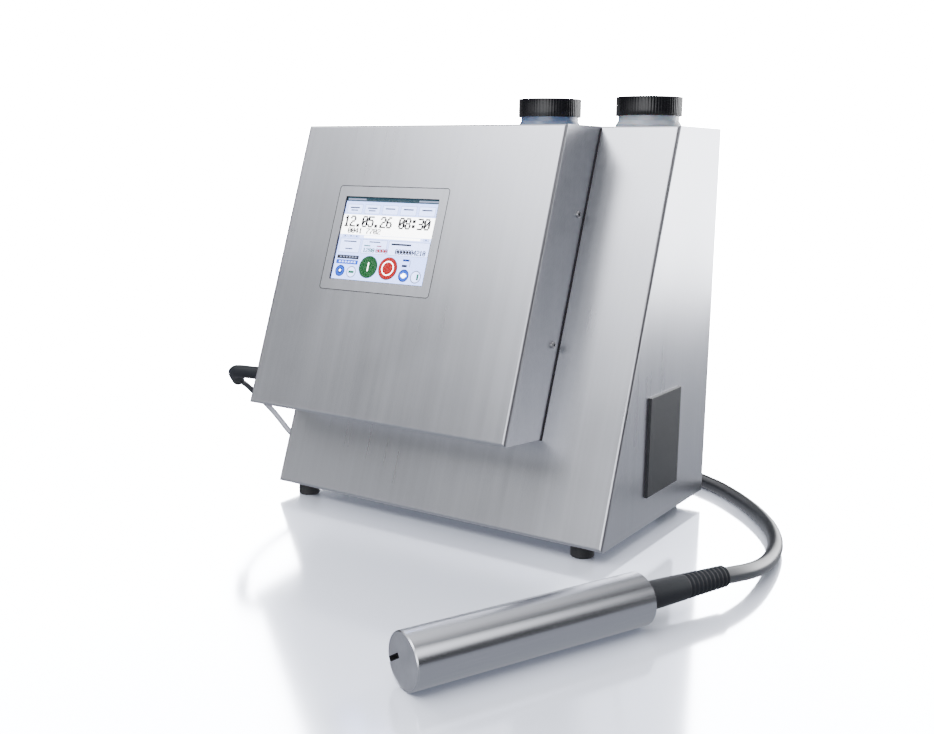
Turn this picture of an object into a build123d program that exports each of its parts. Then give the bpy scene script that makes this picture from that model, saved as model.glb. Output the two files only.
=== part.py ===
from build123d import *
import os
from math import asin, atan2, cos, degrees, pi, radians, sin, sqrt, tan

# Date code inkjet printer: a folded steel cabinet with a screen housing on its sloping front, two
# screw-capped tanks that stand through its top, and a print head on a hose-like umbilical.
# Millimetres, +Z up, -Y is the front. The model is drawn from the cabinet's rear left bottom corner
# on the floor, then moved so that its origin is under the middle of the object, cords left out.

# ---------------------------------------------------------------- sheet metal and fasteners
SHEET = 1.5             # wall of every folded steel piece
BEND_R = 3.0            # outside radius of a fold
SLIP = 0.3              # gap round a piece that is set into another
RUN = 0.05              # radial gap of a shaft in its bore
PROUD = 0.05            # how far a screw head's washer face stands off
SCREW_R = 2.0           # M4 shank
SCREW_HEAD_R = 3.5
SCREW_HEAD_H = 2.2
SCREW_L = 7.0

# ---------------------------------------------------------------- cabinet
CABINET_W = 384.0
CABINET_TOP = 386.0     # height of the top panel above the floor
DEPTH_BOTTOM = 236.3
DEPTH_TOP = 103.5
BOTTOM_FLANGE = 42.0    # width of the folded-in rim under the cabinet
REAR_FLANGE = 14.0      # width of the folded-in rim that the rear panel is screwed to
TRAY_LIP = 12.0

# ---------------------------------------------------------------- feet
FOOT_H = 12.4
FOOT_R = 11.0
FOOT_INSET_X = 28.0
FOOT_INSET_FRONT = 18.3
FOOT_INSET_REAR = 25.0

# ---------------------------------------------------------------- screen housing on the front
HOUSING_LEFT = -5.5     # it stands 5.5 mm past the cabinet's left side
HOUSING_W = 308.8
HOUSING_T = 64.4        # square to the sloping front
HOUSING_DROP_REAR = 305.3    # down the slope from the cabinet's top edge
HOUSING_DROP_FRONT = 321.8
HOUSING_RIM = 24.0      # flange of the inner mounting frame
HOUSING_SCREW_DROPS = (92.0, 218.0)
HOUSING_SCREW_N = 13.4  # out from the cabinet's front
CABLE_PORT_R = 22.0
CABLE_PORT_X = 78.0
CABLE_PORT_DROP = 200.0
GROMMET_LIP = 4.0

# ---------------------------------------------------------------- touch screen
SCREEN_X = 123.0        # middle of the screen from the cabinet's left side
SCREEN_DROP = 141.2     # middle of the screen down the slope, on the housing's face
BEZEL_W, BEZEL_H = 134.6, 107.8
BEZEL_CORNER_R = 3.0
VIEW_W, VIEW_H = 115.2, 86.4     # the glass seen inside the bezel, a 5.7 inch 4:3 screen
BEZEL_T = 1.5
GLASS_W, GLASS_H, GLASS_T = 127.4, 100.4, 1.8
CARRIER_RIM = 12.0
CARRIER_T = 1.5
LCD_W, LCD_H, LCD_T = 138.0, 104.6, 8.0
STANDOFF_R = 2.8
CONTROL_STANDOFF_L = 20.0
CONTROL_BOARD_W, CONTROL_BOARD_H = 178.0, 124.0
BOARD_T = 1.6

# ---------------------------------------------------------------- tanks and their caps
INK_X, SOLVENT_X = 218.0, 329.0
NECK_Y = -52.0
TANK_W, TANK_D = 80.0, 90.0
TANK_BASE, TANK_SHOULDER = 248.0, 372.0
TANK_WALL = 2.0
TANK_CORNER_R = 8.0
NECK_R = 29.6
NECK_WALL = 3.6
NECK_TOP = 410.5
COLLAR_R = 32.0         # the shoulder that shows between the top panel and the cap
COLLAR_LOW, COLLAR_HIGH = 388.5, 392.5
OUTLET_R, OUTLET_L = 4.0, 10.0
CAP_R = 32.5
CAP_LOW, CAP_HIGH = 397.0, 415.0
CAP_GAP = 0.4
CAP_ROOF = 2.5
CAP_EDGE_R = 1.2
LINER_T = 2.0

# ---------------------------------------------------------------- air inlet in the right side
VENT_Y, VENT_Z = -112.5, 89.8
VENT_W, VENT_H = 71.5, 96.5
VENT_T = 3.0
VENT_HOLE_W, VENT_HOLE_H = 60.0, 84.0
VENT_CLIP = (8.0, 3.0)  # width and thickness of each clip leg
VENT_CLIP_L = 5.0
MAT_H, MAT_T = 72.0, 5.0
FAN_SIDE, FAN_T = 60.0, 25.0
FAN_BORE_R = 28.0
FAN_HUB_R = 13.0
FAN_BLADE_R = 27.0
FAN_BLADES = 7
FAN_BLADE_T = 1.4
FAN_SHAFT_R = 1.5
FAN_SPIDER_T = 2.0

# ---------------------------------------------------------------- walls inside the cabinet
PARTITION_X = 174.5
WALL_GAP = 0.3
SHELF_HOLE_R = 8.0

# ---------------------------------------------------------------- ink system on the base tray
SERVICE_X, SERVICE_Y, SERVICE_R, SERVICE_H = 222.0, -62.0, 42.0, 105.0
PORT_R, PORT_L, HOSE_R = 3.0, 8.0, 3.0
PUMP_X, PUMP_SIDE, PUMP_H = 308.0, 40.0, 30.0
PUMP_Y = SERVICE_Y      # its inlet is in line with the service tank's outlet
MOTOR_R, MOTOR_H, MOTOR_WALL = 20.0, 62.0, 1.5
ROTOR_R, ROTOR_L = 15.0, 40.0
SHAFT_R = 3.0
FILTER_X, FILTER_Y, FILTER_R, FILTER_H = 352.0, -52.0, 20.0, 88.0
DAMPER_X, DAMPER_Y, DAMPER_R, DAMPER_H = 322.0, -180.0, 17.0, 46.0
VALVE_X, VALVE_Y, VALVE_W, VALVE_D, VALVE_H = 236.0, -150.0, 108.0, 36.0, 28.0
COIL_SIDE, COIL_H, COILS = 20.0, 30.0, 4

# ---------------------------------------------------------------- electronics
SUPPLY_X, SUPPLY_Y, SUPPLY_W, SUPPLY_D, SUPPLY_H = 52.0, -120.0, 70.0, 130.0, 110.0
BOARD_D, BOARD_H = 76.0, 230.0
BOARD_LOW = 110.0
BOARD_STANDOFF_L = 8.0

# ---------------------------------------------------------------- connections on the rear panel
INLET_X, INLET_Z = 62.0, 74.0
INLET_W, INLET_H, INLET_DEPTH = 27.4, 57.0, 30.0
INLET_RIM, INLET_RIM_T = 3.0, 2.0
IEC_W, IEC_H, IEC_DEPTH = 24.0, 16.6, 15.0
IEC_DZ = -15.0          # socket, drawer and rocker places above the inlet's middle
DRAWER_DZ, DRAWER_W, DRAWER_H, DRAWER_L = 1.6, 22.0, 8.0, 13.0
ROCKER_DZ, ROCKER_W, ROCKER_H, ROCKER_WELL = 17.0, 21.4, 13.0, 12.0
ROCKER_TILT = 8.0       # degrees each side of level
ROCKER_PIN_R = 1.5
INLET_GAP = 0.3
SOCKET_XS = (36.0, 62.0, 88.0, 114.0)
SOCKET_Z = 160.0
SOCKET_R, SOCKET_BORE_R, SOCKET_L, SOCKET_FLANGE_R, SOCKET_FLANGE_T = 6.0, 4.4, 9.0, 9.0, 2.5
SOCKET_TAIL_L = 12.0
NETWORK_X, NETWORK_Z = 120.0, 74.0
NETWORK_W, NETWORK_H, NETWORK_L = 16.0, 14.0, 20.0
NETWORK_HOLE_W, NETWORK_HOLE_H, NETWORK_HOLE_L = 11.8, 8.0, 12.0
NETWORK_RIM = 4.0
LOUVRES, LOUVRE_PITCH, LOUVRE_W, LOUVRE_H = 9, 9.0, 90.0, 4.0
LOUVRE_X, LOUVRE_Z = 290.0, 120.0

# ---------------------------------------------------------------- umbilical
UMBILICAL_R = 7.0
GLAND_X, GLAND_Z = 158.0, 45.0
GLAND_R, GLAND_NUT_AF, GLAND_NUT_T, GLAND_DOME_L = 12.0, 27.0, 8.0, 14.0
GLAND_LOCKNUT_R, GLAND_LOCKNUT_T = 15.0, 6.0
REAR_BOOT_L, REAR_BOOT_R, REAR_BOOT_TIP_R = 40.0, 11.5, 8.6
COIL_R = 80.0           # middle of the turns
COIL_Y = 121.5
TIE_AT = 100.0          # degrees round the coil
TIE_W, TIE_T = 16.0, 1.6

# ---------------------------------------------------------------- print head, lying on the floor
HEAD_R = 21.0
HEAD_L = 209.0
HEAD_WALL = 1.2
HEAD_FRONT = (375.2, -517.0)
HEAD_HEADING = 65.81    # degrees from +X, front to rear
HEAD_ROLL = -32.75      # how it happens to lie, turned about its own axis
HEAD_CHAMFER = 0.8
HEAD_FIT = 0.08         # radial gap between the cover tube and the rear plug
CAP_PLATE_T, CAP_PLATE_SET = 4.0, 0.3
SLOT_W, SLOT_Z, SLOT_END_Y, SLOT_DEPTH = 4.0, 5.2, 4.5, 6.0
PLUG_T, PLUG_SET = 22.0, 3.0
DECK_T, DECK_TOP = 2.2, -1.8
DECK_Y0, DECK_Y1, DECK_X0 = -12.0, 14.0, 12.0
JET_Y = 3.0             # the ink jet's line in the head, at the slot's height
NOZZLE_X, NOZZLE_L, NOZZLE_SIDE, NOZZLE_TIP_L, NOZZLE_TIP_R = 100.0, 45.0, 14.0, 6.0, 3.0
NOZZLE_GAP = 5.0        # between the nozzle body and the raised end of the deck
CHARGE_X, CHARGE_L, CHARGE_W, CHARGE_CHANNEL = 76.0, 12.0, 14.0, 5.4
DEFLECT_X, DEFLECT_L, DEFLECT_T, DEFLECT_H = 38.0, 32.0, 1.5, 13.0
DEFLECT_YS = (-4.0, 10.0)
GUTTER_R, GUTTER_BORE_R, GUTTER_X, GUTTER_L = 1.8, 0.9, 14.0, 20.0
GUTTER_FOOT_W = 4.0
HEAD_BOOT_L, HEAD_BOOT_R, HEAD_BOOT_TIP_R = 90.0, 12.0, 9.0
HEAD_BOOT_SMOOTH = 45.0
HEAD_BOOT_RIBS = 10
RIB_DEPTH = 0.9

# ---------------------------------------------------------------- link cable between the housings
LINK_R = 3.0
RELIEF_R, RELIEF_COLLAR_R, RELIEF_COLLAR_T = 6.8, 8.0, 3.0
RELIEF_BEND_R = 22.0
RELIEF_TIP_R = 4.6
LINK_GLAND_R, LINK_GLAND_L, LINK_GLAND_HEX_AF, LINK_GLAND_INSIDE = 5.5, 8.0, 15.0, 7.0

# Points of the free cords, chosen by hand, from the cabinet's rear left bottom corner.
LEAD_ROUTE = [(158, 62, 45), (158, 84, 43.4), (158, 104, 38.6), (158, 121.5, 35)]
UMBILICAL_ROUTE = [
    (318, 121.5, 7), (318, 97, 7), (329, 75, 7), (348, 60.5, 7), (370.5, 48.5, 7),
    (394, 33.5, 7), (421, 9.5, 7), (450, -21, 7), (479, -61, 7), (498.5, -104, 7.2),
    (507.5, -146, 8.4), (510.5, -184, 12.5), (507, -219, 17.8), (497.8, -244.2, 21)]
LINK_ROUTE = [(-66, -226, 114), (-71.5, -210, 106), (-66, -199, 93), (-50, -194, 78.5),
              (-32, -195.5, 66), (-18, -198.5, 56.5), (-8, -199, 52)]
RELIEF_ROUTE = [(-5.5, -250, 131), (-49, -250, 129.5), (-66, -226, 114)]
COIL_TURNS = 2.5

# ================================================================ worked out from the sizes
SLOPE = atan2(DEPTH_BOTTOM - DEPTH_TOP, CABINET_TOP - FOOT_H)
FRONT = Plane(origin=(0, -DEPTH_TOP, CABINET_TOP), x_dir=(1, 0, 0),
              z_dir=(0, -cos(SLOPE), sin(SLOPE)))   # x, up the slope, out of the front
CABINET = [(-DEPTH_BOTTOM, FOOT_H), (-DEPTH_TOP, CABINET_TOP), (0, CABINET_TOP), (0, FOOT_H)]
TRAY_TOP = FOOT_H + 2 * SHEET
HOUSING_RIGHT = HOUSING_LEFT + HOUSING_W
SCREEN = FRONT * Pos(SCREEN_X, -SCREEN_DROP, HOUSING_T)
COIL_X = GLAND_X + COIL_R
HEAD = (Plane(origin=(*HEAD_FRONT, HEAD_R), x_dir=(cos(radians(HEAD_HEADING)),
                                                   sin(radians(HEAD_HEADING)), 0)).location
        * Rot(X=HEAD_ROLL))
HEAD_BORE_R = HEAD_R - HEAD_WALL
NECK_BORE_R = NECK_R - NECK_WALL
OPEN = 60.0             # how far a cutting solid runs past an open side


# ================================================================ helpers
def block(x0, x1, y0, y1, z0, z1):
    """A plain block between two corners."""
    return Pos((x0 + x1) / 2, (y0 + y1) / 2, (z0 + z1) / 2) * Box(x1 - x0, y1 - y0, z1 - z0)


def centred(width, depth, height, x, y, z):
    """A block whose base is centred on x, y at height z."""
    return block(x - width / 2, x + width / 2, y - depth / 2, y + depth / 2, z, z + height)


def rod(start, direction, radius, length, tip=None):
    """A round bar, or a cone when a tip radius is given."""
    low = (Align.CENTER, Align.CENTER, Align.MIN)
    shape = Cylinder(radius, length, align=low) if tip is None else Cone(radius, tip, length, align=low)
    return Plane(origin=start, z_dir=direction).location * shape


def hexagon(start, direction, across_flats, length):
    """A hexagonal bar."""
    flat = RegularPolygon(across_flats / 2, 6, major_radius=False)
    return Plane(origin=start, z_dir=direction).location * extrude(flat, length)


def inset(points, amounts):
    """The outline moved inwards, each side by its own amount; a negative amount moves it out."""
    sides = []
    for (p, q), amount in zip(zip(points, points[1:] + points[:1]), amounts):
        run = Vector(q[0] - p[0], q[1] - p[1]).normalized()
        inward = Vector(run.Y, -run.X)
        sides.append((Vector(*p) + inward * amount, run))
    corners = []
    for (a, u), (b, v) in zip(sides[-1:] + sides[:-1], sides):
        along = ((b - a).X * v.Y - (b - a).Y * v.X) / (u.X * v.Y - u.Y * v.X)
        corners.append(((a + u * along).X, (a + u * along).Y))
    return corners


def slab(outline, x0, x1):
    """A prism along X from an outline of (y, z) points."""
    face = Plane.YZ * make_face(Polyline(*outline, close=True))
    return Pos(x0, 0, 0) * extrude(face, x1 - x0, dir=(1, 0, 0))


def on_slope(drop, out):
    """The (y, z) of a point given down the slope and out of the cabinet's front."""
    place = FRONT.from_local_coords(Vector(0, -drop, out))
    return place.Y, place.Z


def touches(edge, test):
    """Whether both ends and the middle of an edge pass a test of a point."""
    return all(test(edge @ at) for at in (0, 0.5, 1))


def on_front(point, out=0.0):
    """Whether a point lies on the plane that far out of the cabinet's front."""
    return abs(FRONT.to_local_coords(point).Z - out) < 1e-4


def cord_path(name, route):
    """Straight runs joined by the largest arcs that they allow."""
    points = [Vector(*p) for p in route]
    runs = [b - a for a, b in zip(points, points[1:])]
    radii = []
    for one, two in zip(runs, runs[1:]):
        half = radians(one.get_angle(two)) / 2
        radii.append(0.45 * min(one.length, two.length) / tan(half))
    print(name, "radii", [round(r, 1) for r in radii])
    return FilletPolyline(*points, radius=radii)


def cord(name, route, radius):
    """A round tube along a route."""
    path = cord_path(name, route)
    tube = sweep(Plane(origin=path @ 0, z_dir=path % 0) * Circle(radius), path)
    print(name, "length", round(path.length, 1), "volume ratio",
          round(tube.volume / (pi * radius ** 2 * path.length), 5))
    return tube


def screw(start, direction):
    """A button head screw whose head stands on start and whose shank goes the other way."""
    d = Vector(*direction)
    head = rod(Vector(*start) + d * PROUD, d, SCREW_HEAD_R, SCREW_HEAD_H)
    head = fillet(head.edges().sort_by(lambda e: e.center().dot(d))[-1:], SCREW_HEAD_H * 0.45)
    socket = hexagon(Vector(*start) + d * (PROUD + SCREW_HEAD_H * 0.4), d, 2.5, SCREW_HEAD_H)
    return head - socket + rod(Vector(*start) + d * PROUD, -d, SCREW_R, SCREW_L)


def screw_hole(start, direction):
    """The clearance hole for a screw, right through."""
    d = Vector(*direction)
    return rod(Vector(*start) + d * SCREW_L, -d, SCREW_R + SLIP, 3 * SCREW_L)


def ribbed(start, direction, radius, tip, length, smooth, ribs):
    """A tapered rubber sleeve, plain and then ringed with grooves up to its tip."""
    d = Vector(*direction)
    sleeve = rod(start, d, radius, length, tip)
    pitch = (length - smooth) / ribs
    for i in range(ribs):
        at = smooth + pitch * (i + 0.25)
        r = radius + (tip - radius) * at / length
        here = Vector(*start) + d * at
        sleeve -= rod(here, d, r + 2, pitch / 2) - rod(here, d, r - RIB_DEPTH, pitch / 2)
    return sleeve


# ================================================================ places that several pieces share
REAR_SCREWS = [((x, 0, z), (0, 1, 0))
               for x in (REAR_FLANGE / 2 + SHEET, CABINET_W - REAR_FLANGE / 2 - SHEET)
               for z in (FOOT_H + 30, 145.0, 260.0, CABINET_TOP - 20)]
FOOT_PLACES = [(x, y) for x in (FOOT_INSET_X, CABINET_W - FOOT_INSET_X)
               for y in (-DEPTH_BOTTOM + FOOT_INSET_FRONT, -FOOT_INSET_REAR)]
FOOT_SCREWS = [((x, y, TRAY_TOP), (0, 0, 1)) for x, y in FOOT_PLACES]
HOUSING_SCREWS = [((x, *on_slope(drop, HOUSING_SCREW_N)), (side, 0, 0))
                  for x, side in ((HOUSING_LEFT, -1), (HOUSING_RIGHT, 1))
                  for drop in HOUSING_SCREW_DROPS]
TANK_XS = (INK_X, SOLVENT_X)
SHELF_Z = TANK_BASE - SHEET
PUMP_TOP = TRAY_TOP + PUMP_H
MOTOR_TOP = PUMP_TOP + MOTOR_H
SERVICE_TOP = TRAY_TOP + SERVICE_H
VALVE_TOP = TRAY_TOP + VALVE_H
FAN_X1 = CABINET_W - SHEET - 4.0
FAN_X0 = FAN_X1 - FAN_T


# ================================================================ cabinet
def cabinet_shell():
    """Front, sides and top folded and welded as one, with rims folded in below and behind."""
    outer = slab(CABINET, 0, CABINET_W)
    outer = fillet(outer.edges().filter_by(lambda e: touches(e, on_front)), BEND_R)
    inner = slab(inset(CABINET, [SHEET, SHEET, 2 * SHEET, SHEET]), SHEET, CABINET_W - SHEET)
    inner = fillet(inner.edges().filter_by(
        lambda e: touches(e, lambda p: on_front(p, -SHEET))), BEND_R - SHEET)
    shell = outer - inner
    shell -= block(SHEET, CABINET_W - SHEET, -SHEET, 1, FOOT_H + SHEET, CABINET_TOP - SHEET)
    edge = SHEET + REAR_FLANGE
    shell -= block(edge, CABINET_W - edge, -4 * SHEET, 1, FOOT_H + edge, CABINET_TOP - edge)
    shell -= block(BOTTOM_FLANGE, CABINET_W - BOTTOM_FLANGE, -DEPTH_BOTTOM + BOTTOM_FLANGE,
                   -BOTTOM_FLANGE, FOOT_H - 1, FOOT_H + SHEET + 0.5)
    for x in TANK_XS:
        shell -= rod((x, NECK_Y, CABINET_TOP - 3 * SHEET), (0, 0, 1), COLLAR_R + 2 * SLIP, 6 * SHEET)
    shell -= block(CABINET_W - 3 * SHEET, CABINET_W + 1, VENT_Y - VENT_HOLE_W / 2,
                   VENT_Y + VENT_HOLE_W / 2, VENT_Z - VENT_HOLE_H / 2, VENT_Z + VENT_HOLE_H / 2)
    shell -= rod((-1, LINK_ROUTE[-1][1], LINK_ROUTE[-1][2]), (1, 0, 0), LINK_GLAND_R, 4 * SHEET)
    shell -= FRONT * Pos(CABLE_PORT_X, -CABLE_PORT_DROP, -3 * SHEET) * Cylinder(
        CABLE_PORT_R, 8 * SHEET)
    for start, direction in REAR_SCREWS + FOOT_SCREWS:
        shell -= screw_hole(start, direction)
    return shell


def base_tray():
    """The tray that the feet and the ink system stand on, with its edges turned up."""
    x0, x1 = SHEET + SLIP, CABINET_W - SHEET - SLIP
    y0, y1 = -DEPTH_BOTTOM + 2 * BEND_R, -2 * SHEET - SLIP
    z0 = FOOT_H + SHEET
    tray = block(x0, x1, y0, y1, z0, z0 + SHEET)
    lips = [(x0, x0 + SHEET, y0 + TRAY_LIP, y1), (x1 - SHEET, x1, y0 + TRAY_LIP, y1),
            (x0, x1, y1 - SHEET, y1)]
    for a, b, c, d in lips:
        tray += block(a, b, c, d, z0, z0 + TRAY_LIP)
    for start, direction in FOOT_SCREWS:
        tray -= screw_hole(start, direction)
    tray -= rod((GLAND_X, -4 * SHEET, GLAND_Z), (0, 1, 0), GLAND_LOCKNUT_R + 1, 8 * SHEET)
    return tray


def rear_panel():
    """The flat lid of the cabinet's back, set in flush, with its cut-outs and louvres."""
    gap = SHEET + SLIP
    panel = block(gap, CABINET_W - gap, -SHEET, 0, FOOT_H + gap, CABINET_TOP - gap)
    panel -= block(INLET_X - INLET_W / 2 - SLIP, INLET_X + INLET_W / 2 + SLIP, -2 * SHEET, 1,
                   INLET_Z - INLET_H / 2 - SLIP, INLET_Z + INLET_H / 2 + SLIP)
    panel -= block(NETWORK_X - NETWORK_W / 2 - SLIP, NETWORK_X + NETWORK_W / 2 + SLIP, -2 * SHEET,
                   1, NETWORK_Z - NETWORK_H / 2 - SLIP, NETWORK_Z + NETWORK_H / 2 + SLIP)
    for x in SOCKET_XS:
        panel -= rod((x, -2 * SHEET, SOCKET_Z), (0, 1, 0), SOCKET_R, 4 * SHEET)
    panel -= rod((GLAND_X, -2 * SHEET, GLAND_Z), (0, 1, 0), GLAND_R, 4 * SHEET)
    for i in range(LOUVRES):
        z = LOUVRE_Z + i * LOUVRE_PITCH
        panel -= block(LOUVRE_X - LOUVRE_W / 2, LOUVRE_X + LOUVRE_W / 2, -2 * SHEET, 1,
                       z, z + LOUVRE_H)
    for start, direction in REAR_SCREWS:
        panel -= screw_hole(start, direction)
    return panel


def rubber_feet():
    """Four plain round feet."""
    feet = []
    for x, y in FOOT_PLACES:
        foot = rod((x, y, 0), (0, 0, 1), FOOT_R, FOOT_H)
        foot = chamfer(foot.edges().sort_by(Axis.Z)[:1], 1.0)
        feet.append(foot - rod((x, y, FOOT_H - SCREW_L), (0, 0, 1), SCREW_R + SLIP, SCREW_L + 1))
    return feet


def partition_panel():
    """The wall between the electronics on the left and the ink system on the right."""
    outline = inset(CABINET, [SHEET + WALL_GAP, SHEET + WALL_GAP, 2 * SHEET + WALL_GAP, 2 * SHEET])
    wall = slab(outline, PARTITION_X, PARTITION_X + SHEET)
    wall -= block(PARTITION_X - 1, PARTITION_X + SHEET + 1, -OPEN / 10 - 2 * SHEET, 1,
                  0, TRAY_TOP + TRAY_LIP)
    wall -= block(PARTITION_X - 1, PARTITION_X + SHEET + 1, -DEPTH_BOTTOM, -DEPTH_BOTTOM + TRAY_LIP,
                  0, TRAY_TOP + TRAY_LIP)
    return wall - rod((PARTITION_X - 1, -170, 60), (1, 0, 0), 12, 4)


def tank_shelf():
    """The shelf under both tanks, from the partition to the right side."""
    y_front = -DEPTH_TOP - (CABINET_TOP - TANK_BASE) * tan(SLOPE) + SHEET / cos(SLOPE) + 3 * SLIP
    x0 = PARTITION_X + SHEET
    shelf = block(x0, CABINET_W - SHEET - WALL_GAP, y_front, -2 * SHEET - WALL_GAP,
                  SHELF_Z, TANK_BASE)
    shelf += block(x0, x0 + SHEET, y_front, -2 * SHEET - WALL_GAP, SHELF_Z - TRAY_LIP, SHELF_Z)
    for x in TANK_XS:
        shelf -= rod((x, NECK_Y, SHELF_Z - 1), (0, 0, 1), SHELF_HOLE_R, 4 * SHEET)
    return shelf


# ================================================================ screen housing
HOUSING = [on_slope(HOUSING_DROP_FRONT, HOUSING_T), on_slope(HOUSING_T * tan(SLOPE), HOUSING_T),
           on_slope(0, 0), on_slope(HOUSING_DROP_REAR, 0)]


def display_housing():
    """A pan folded from one sheet, open to the cabinet, its face cut out for the screen."""
    outer = slab(HOUSING, HOUSING_LEFT, HOUSING_RIGHT)
    outer = fillet(outer.edges().filter_by(
        lambda e: touches(e, lambda p: on_front(p, HOUSING_T))), BEND_R)
    inner = slab(inset(HOUSING, [SHEET, SHEET, -OPEN, SHEET]), HOUSING_LEFT + SHEET,
                 HOUSING_RIGHT - SHEET)
    inner = fillet(inner.edges().filter_by(
        lambda e: touches(e, lambda p: on_front(p, HOUSING_T - SHEET))), BEND_R - SHEET)
    pan = outer - inner
    gap = 2 * SLIP
    pan -= SCREEN * extrude(RectangleRounded(BEZEL_W + gap, BEZEL_H + gap, BEZEL_CORNER_R + SLIP),
                            2 * SHEET, both=True)
    for start, direction in HOUSING_SCREWS:
        pan -= screw_hole(start, direction)
    relief = RELIEF_ROUTE[0]
    return pan - rod((relief[0] - 1, relief[1], relief[2]), (1, 0, 0), LINK_R + SLIP, 4 * SHEET)


def housing_frame():
    """The plate on the cabinet's front that the pan slides over and is screwed to."""
    x0, x1 = HOUSING_LEFT + SHEET + SLIP, HOUSING_RIGHT - SHEET - SLIP
    low, high = -HOUSING_DROP_REAR + 3 * SHEET + SLIP, -HOUSING_RIM * tan(SLOPE) - 3 * SHEET
    frame = FRONT * block(x0, x1, low, high, 0, SHEET)
    frame += FRONT * block(x0, x0 + SHEET, low, high, 0, HOUSING_RIM)
    frame += FRONT * block(x1 - SHEET, x1, low, high, 0, HOUSING_RIM)
    frame -= FRONT * Pos(CABLE_PORT_X, -CABLE_PORT_DROP, 0) * Cylinder(CABLE_PORT_R, 8 * SHEET)
    for start, direction in HOUSING_SCREWS:
        frame -= screw_hole(start, direction)
    return frame


def cable_grommet():
    """The rubber ring round the hole that the screen's leads go through."""
    low = (Align.CENTER, Align.CENTER, Align.MIN)
    bore = CABLE_PORT_R - GROMMET_LIP
    ring = Pos(0, 0, -SHEET) * Cylinder(CABLE_PORT_R, 2 * SHEET, align=low)
    for z in (-SHEET - GROMMET_LIP / 2, SHEET):
        ring += Pos(0, 0, z) * Cylinder(CABLE_PORT_R + GROMMET_LIP / 2, GROMMET_LIP / 2, align=low)
    ring -= Cylinder(bore, 8 * SHEET)
    return FRONT * Pos(CABLE_PORT_X, -CABLE_PORT_DROP, 0) * ring


def display_bezel():
    """The frame plate round the screen, flush with the housing's face."""
    plate = extrude(RectangleRounded(BEZEL_W, BEZEL_H, BEZEL_CORNER_R), -BEZEL_T)
    return SCREEN * (plate - extrude(Rectangle(VIEW_W, VIEW_H), 2 * BEZEL_T, both=True))


def screen_carrier():
    """The plate behind the housing's face that holds the bezel, glass and screen."""
    width, height = BEZEL_W + 2 * CARRIER_RIM, BEZEL_H + CARRIER_RIM
    plate = Pos(0, 0, -SHEET - CARRIER_T) * extrude(Rectangle(width, height), CARRIER_T)
    hole = Pos(0, 0, -SHEET) * extrude(Rectangle(GLASS_W + 2 * SLIP, GLASS_H + 2 * SLIP),
                                       2 * CARRIER_T, both=True)
    return SCREEN * (plate - hole)


def touch_glass():
    """The touch sensitive glass behind the bezel."""
    return SCREEN * Pos(0, 0, -BEZEL_T - GLASS_T) * extrude(Rectangle(GLASS_W, GLASS_H), GLASS_T)


def lcd_module():
    """The screen module behind the glass."""
    return SCREEN * Pos(0, 0, -BEZEL_T - GLASS_T - LCD_T) * extrude(Rectangle(LCD_W, LCD_H), LCD_T)


CONTROL_DEPTH = SHEET + CARRIER_T + CONTROL_STANDOFF_L
CONTROL_HOLES = [(a * (BEZEL_W / 2 + CARRIER_RIM / 2), b * (BEZEL_H / 2 - CARRIER_RIM / 4))
                 for a in (-1, 1) for b in (-1, 1)]


def control_board():
    """The touch panel's computer board, with its processor block, memory and plug strip."""
    low = (Align.CENTER, Align.CENTER, Align.MAX)
    board = Box(CONTROL_BOARD_W, CONTROL_BOARD_H, BOARD_T, align=low)
    for x, y, w, h, t in ((-30, 10, 40, 40, 9), (35, 18, 26, 18, 3), (35, -12, 26, 18, 3),
                          (0, -50, 120, 10, 8)):
        board += Pos(x, y, -BOARD_T) * Box(w, h, t, align=low)
    return SCREEN * Pos(0, 0, -CONTROL_DEPTH) * board


def board_standoffs():
    """Spacers behind the screen and beside the main board."""
    low = (Align.CENTER, Align.CENTER, Align.MAX)
    group = [SCREEN * Pos(x, y, -SHEET - CARRIER_T) * Cylinder(
        STANDOFF_R, CONTROL_STANDOFF_L, align=low) for x, y in CONTROL_HOLES]
    for y in (MAIN_BOARD_Y - BOARD_D / 2 + 8, MAIN_BOARD_Y + BOARD_D / 2 - 8):
        for z in (BOARD_LOW + 8, BOARD_LOW + BOARD_H - 8):
            group.append(rod((PARTITION_X - BOARD_STANDOFF_L, y, z), (1, 0, 0), STANDOFF_R,
                             BOARD_STANDOFF_L))
    return group


# ================================================================ tanks and caps
def tank(x):
    """A blow-moulded tank with a wide neck above and an outlet below."""
    height = TANK_SHOULDER - TANK_BASE
    body = centred(TANK_W, TANK_D, height, x, NECK_Y, TANK_BASE)
    body = fillet(body.edges(), TANK_CORNER_R)
    up = (0, 0, 1)
    body += rod((x, NECK_Y, TANK_SHOULDER - 1), up, COLLAR_R, COLLAR_LOW - TANK_SHOULDER + 1)
    body += rod((x, NECK_Y, COLLAR_LOW), up, COLLAR_R, COLLAR_HIGH - COLLAR_LOW, NECK_R)
    body += rod((x, NECK_Y, COLLAR_HIGH), up, NECK_R, NECK_TOP - COLLAR_HIGH)
    body += rod((x, NECK_Y, TANK_BASE - OUTLET_L), up, OUTLET_R, OUTLET_L + 1)
    inside = centred(TANK_W - 2 * TANK_WALL, TANK_D - 2 * TANK_WALL, height - 2 * TANK_WALL,
                     x, NECK_Y, TANK_BASE + TANK_WALL)
    inside = fillet(inside.edges(), TANK_CORNER_R - TANK_WALL)
    body -= inside
    body -= rod((x, NECK_Y, TANK_SHOULDER - 2 * TANK_WALL), up, NECK_BORE_R, OPEN)
    return body - rod((x, NECK_Y, TANK_BASE - OUTLET_L - 1), up, OUTLET_R / 2, OUTLET_L + 6)


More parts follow.
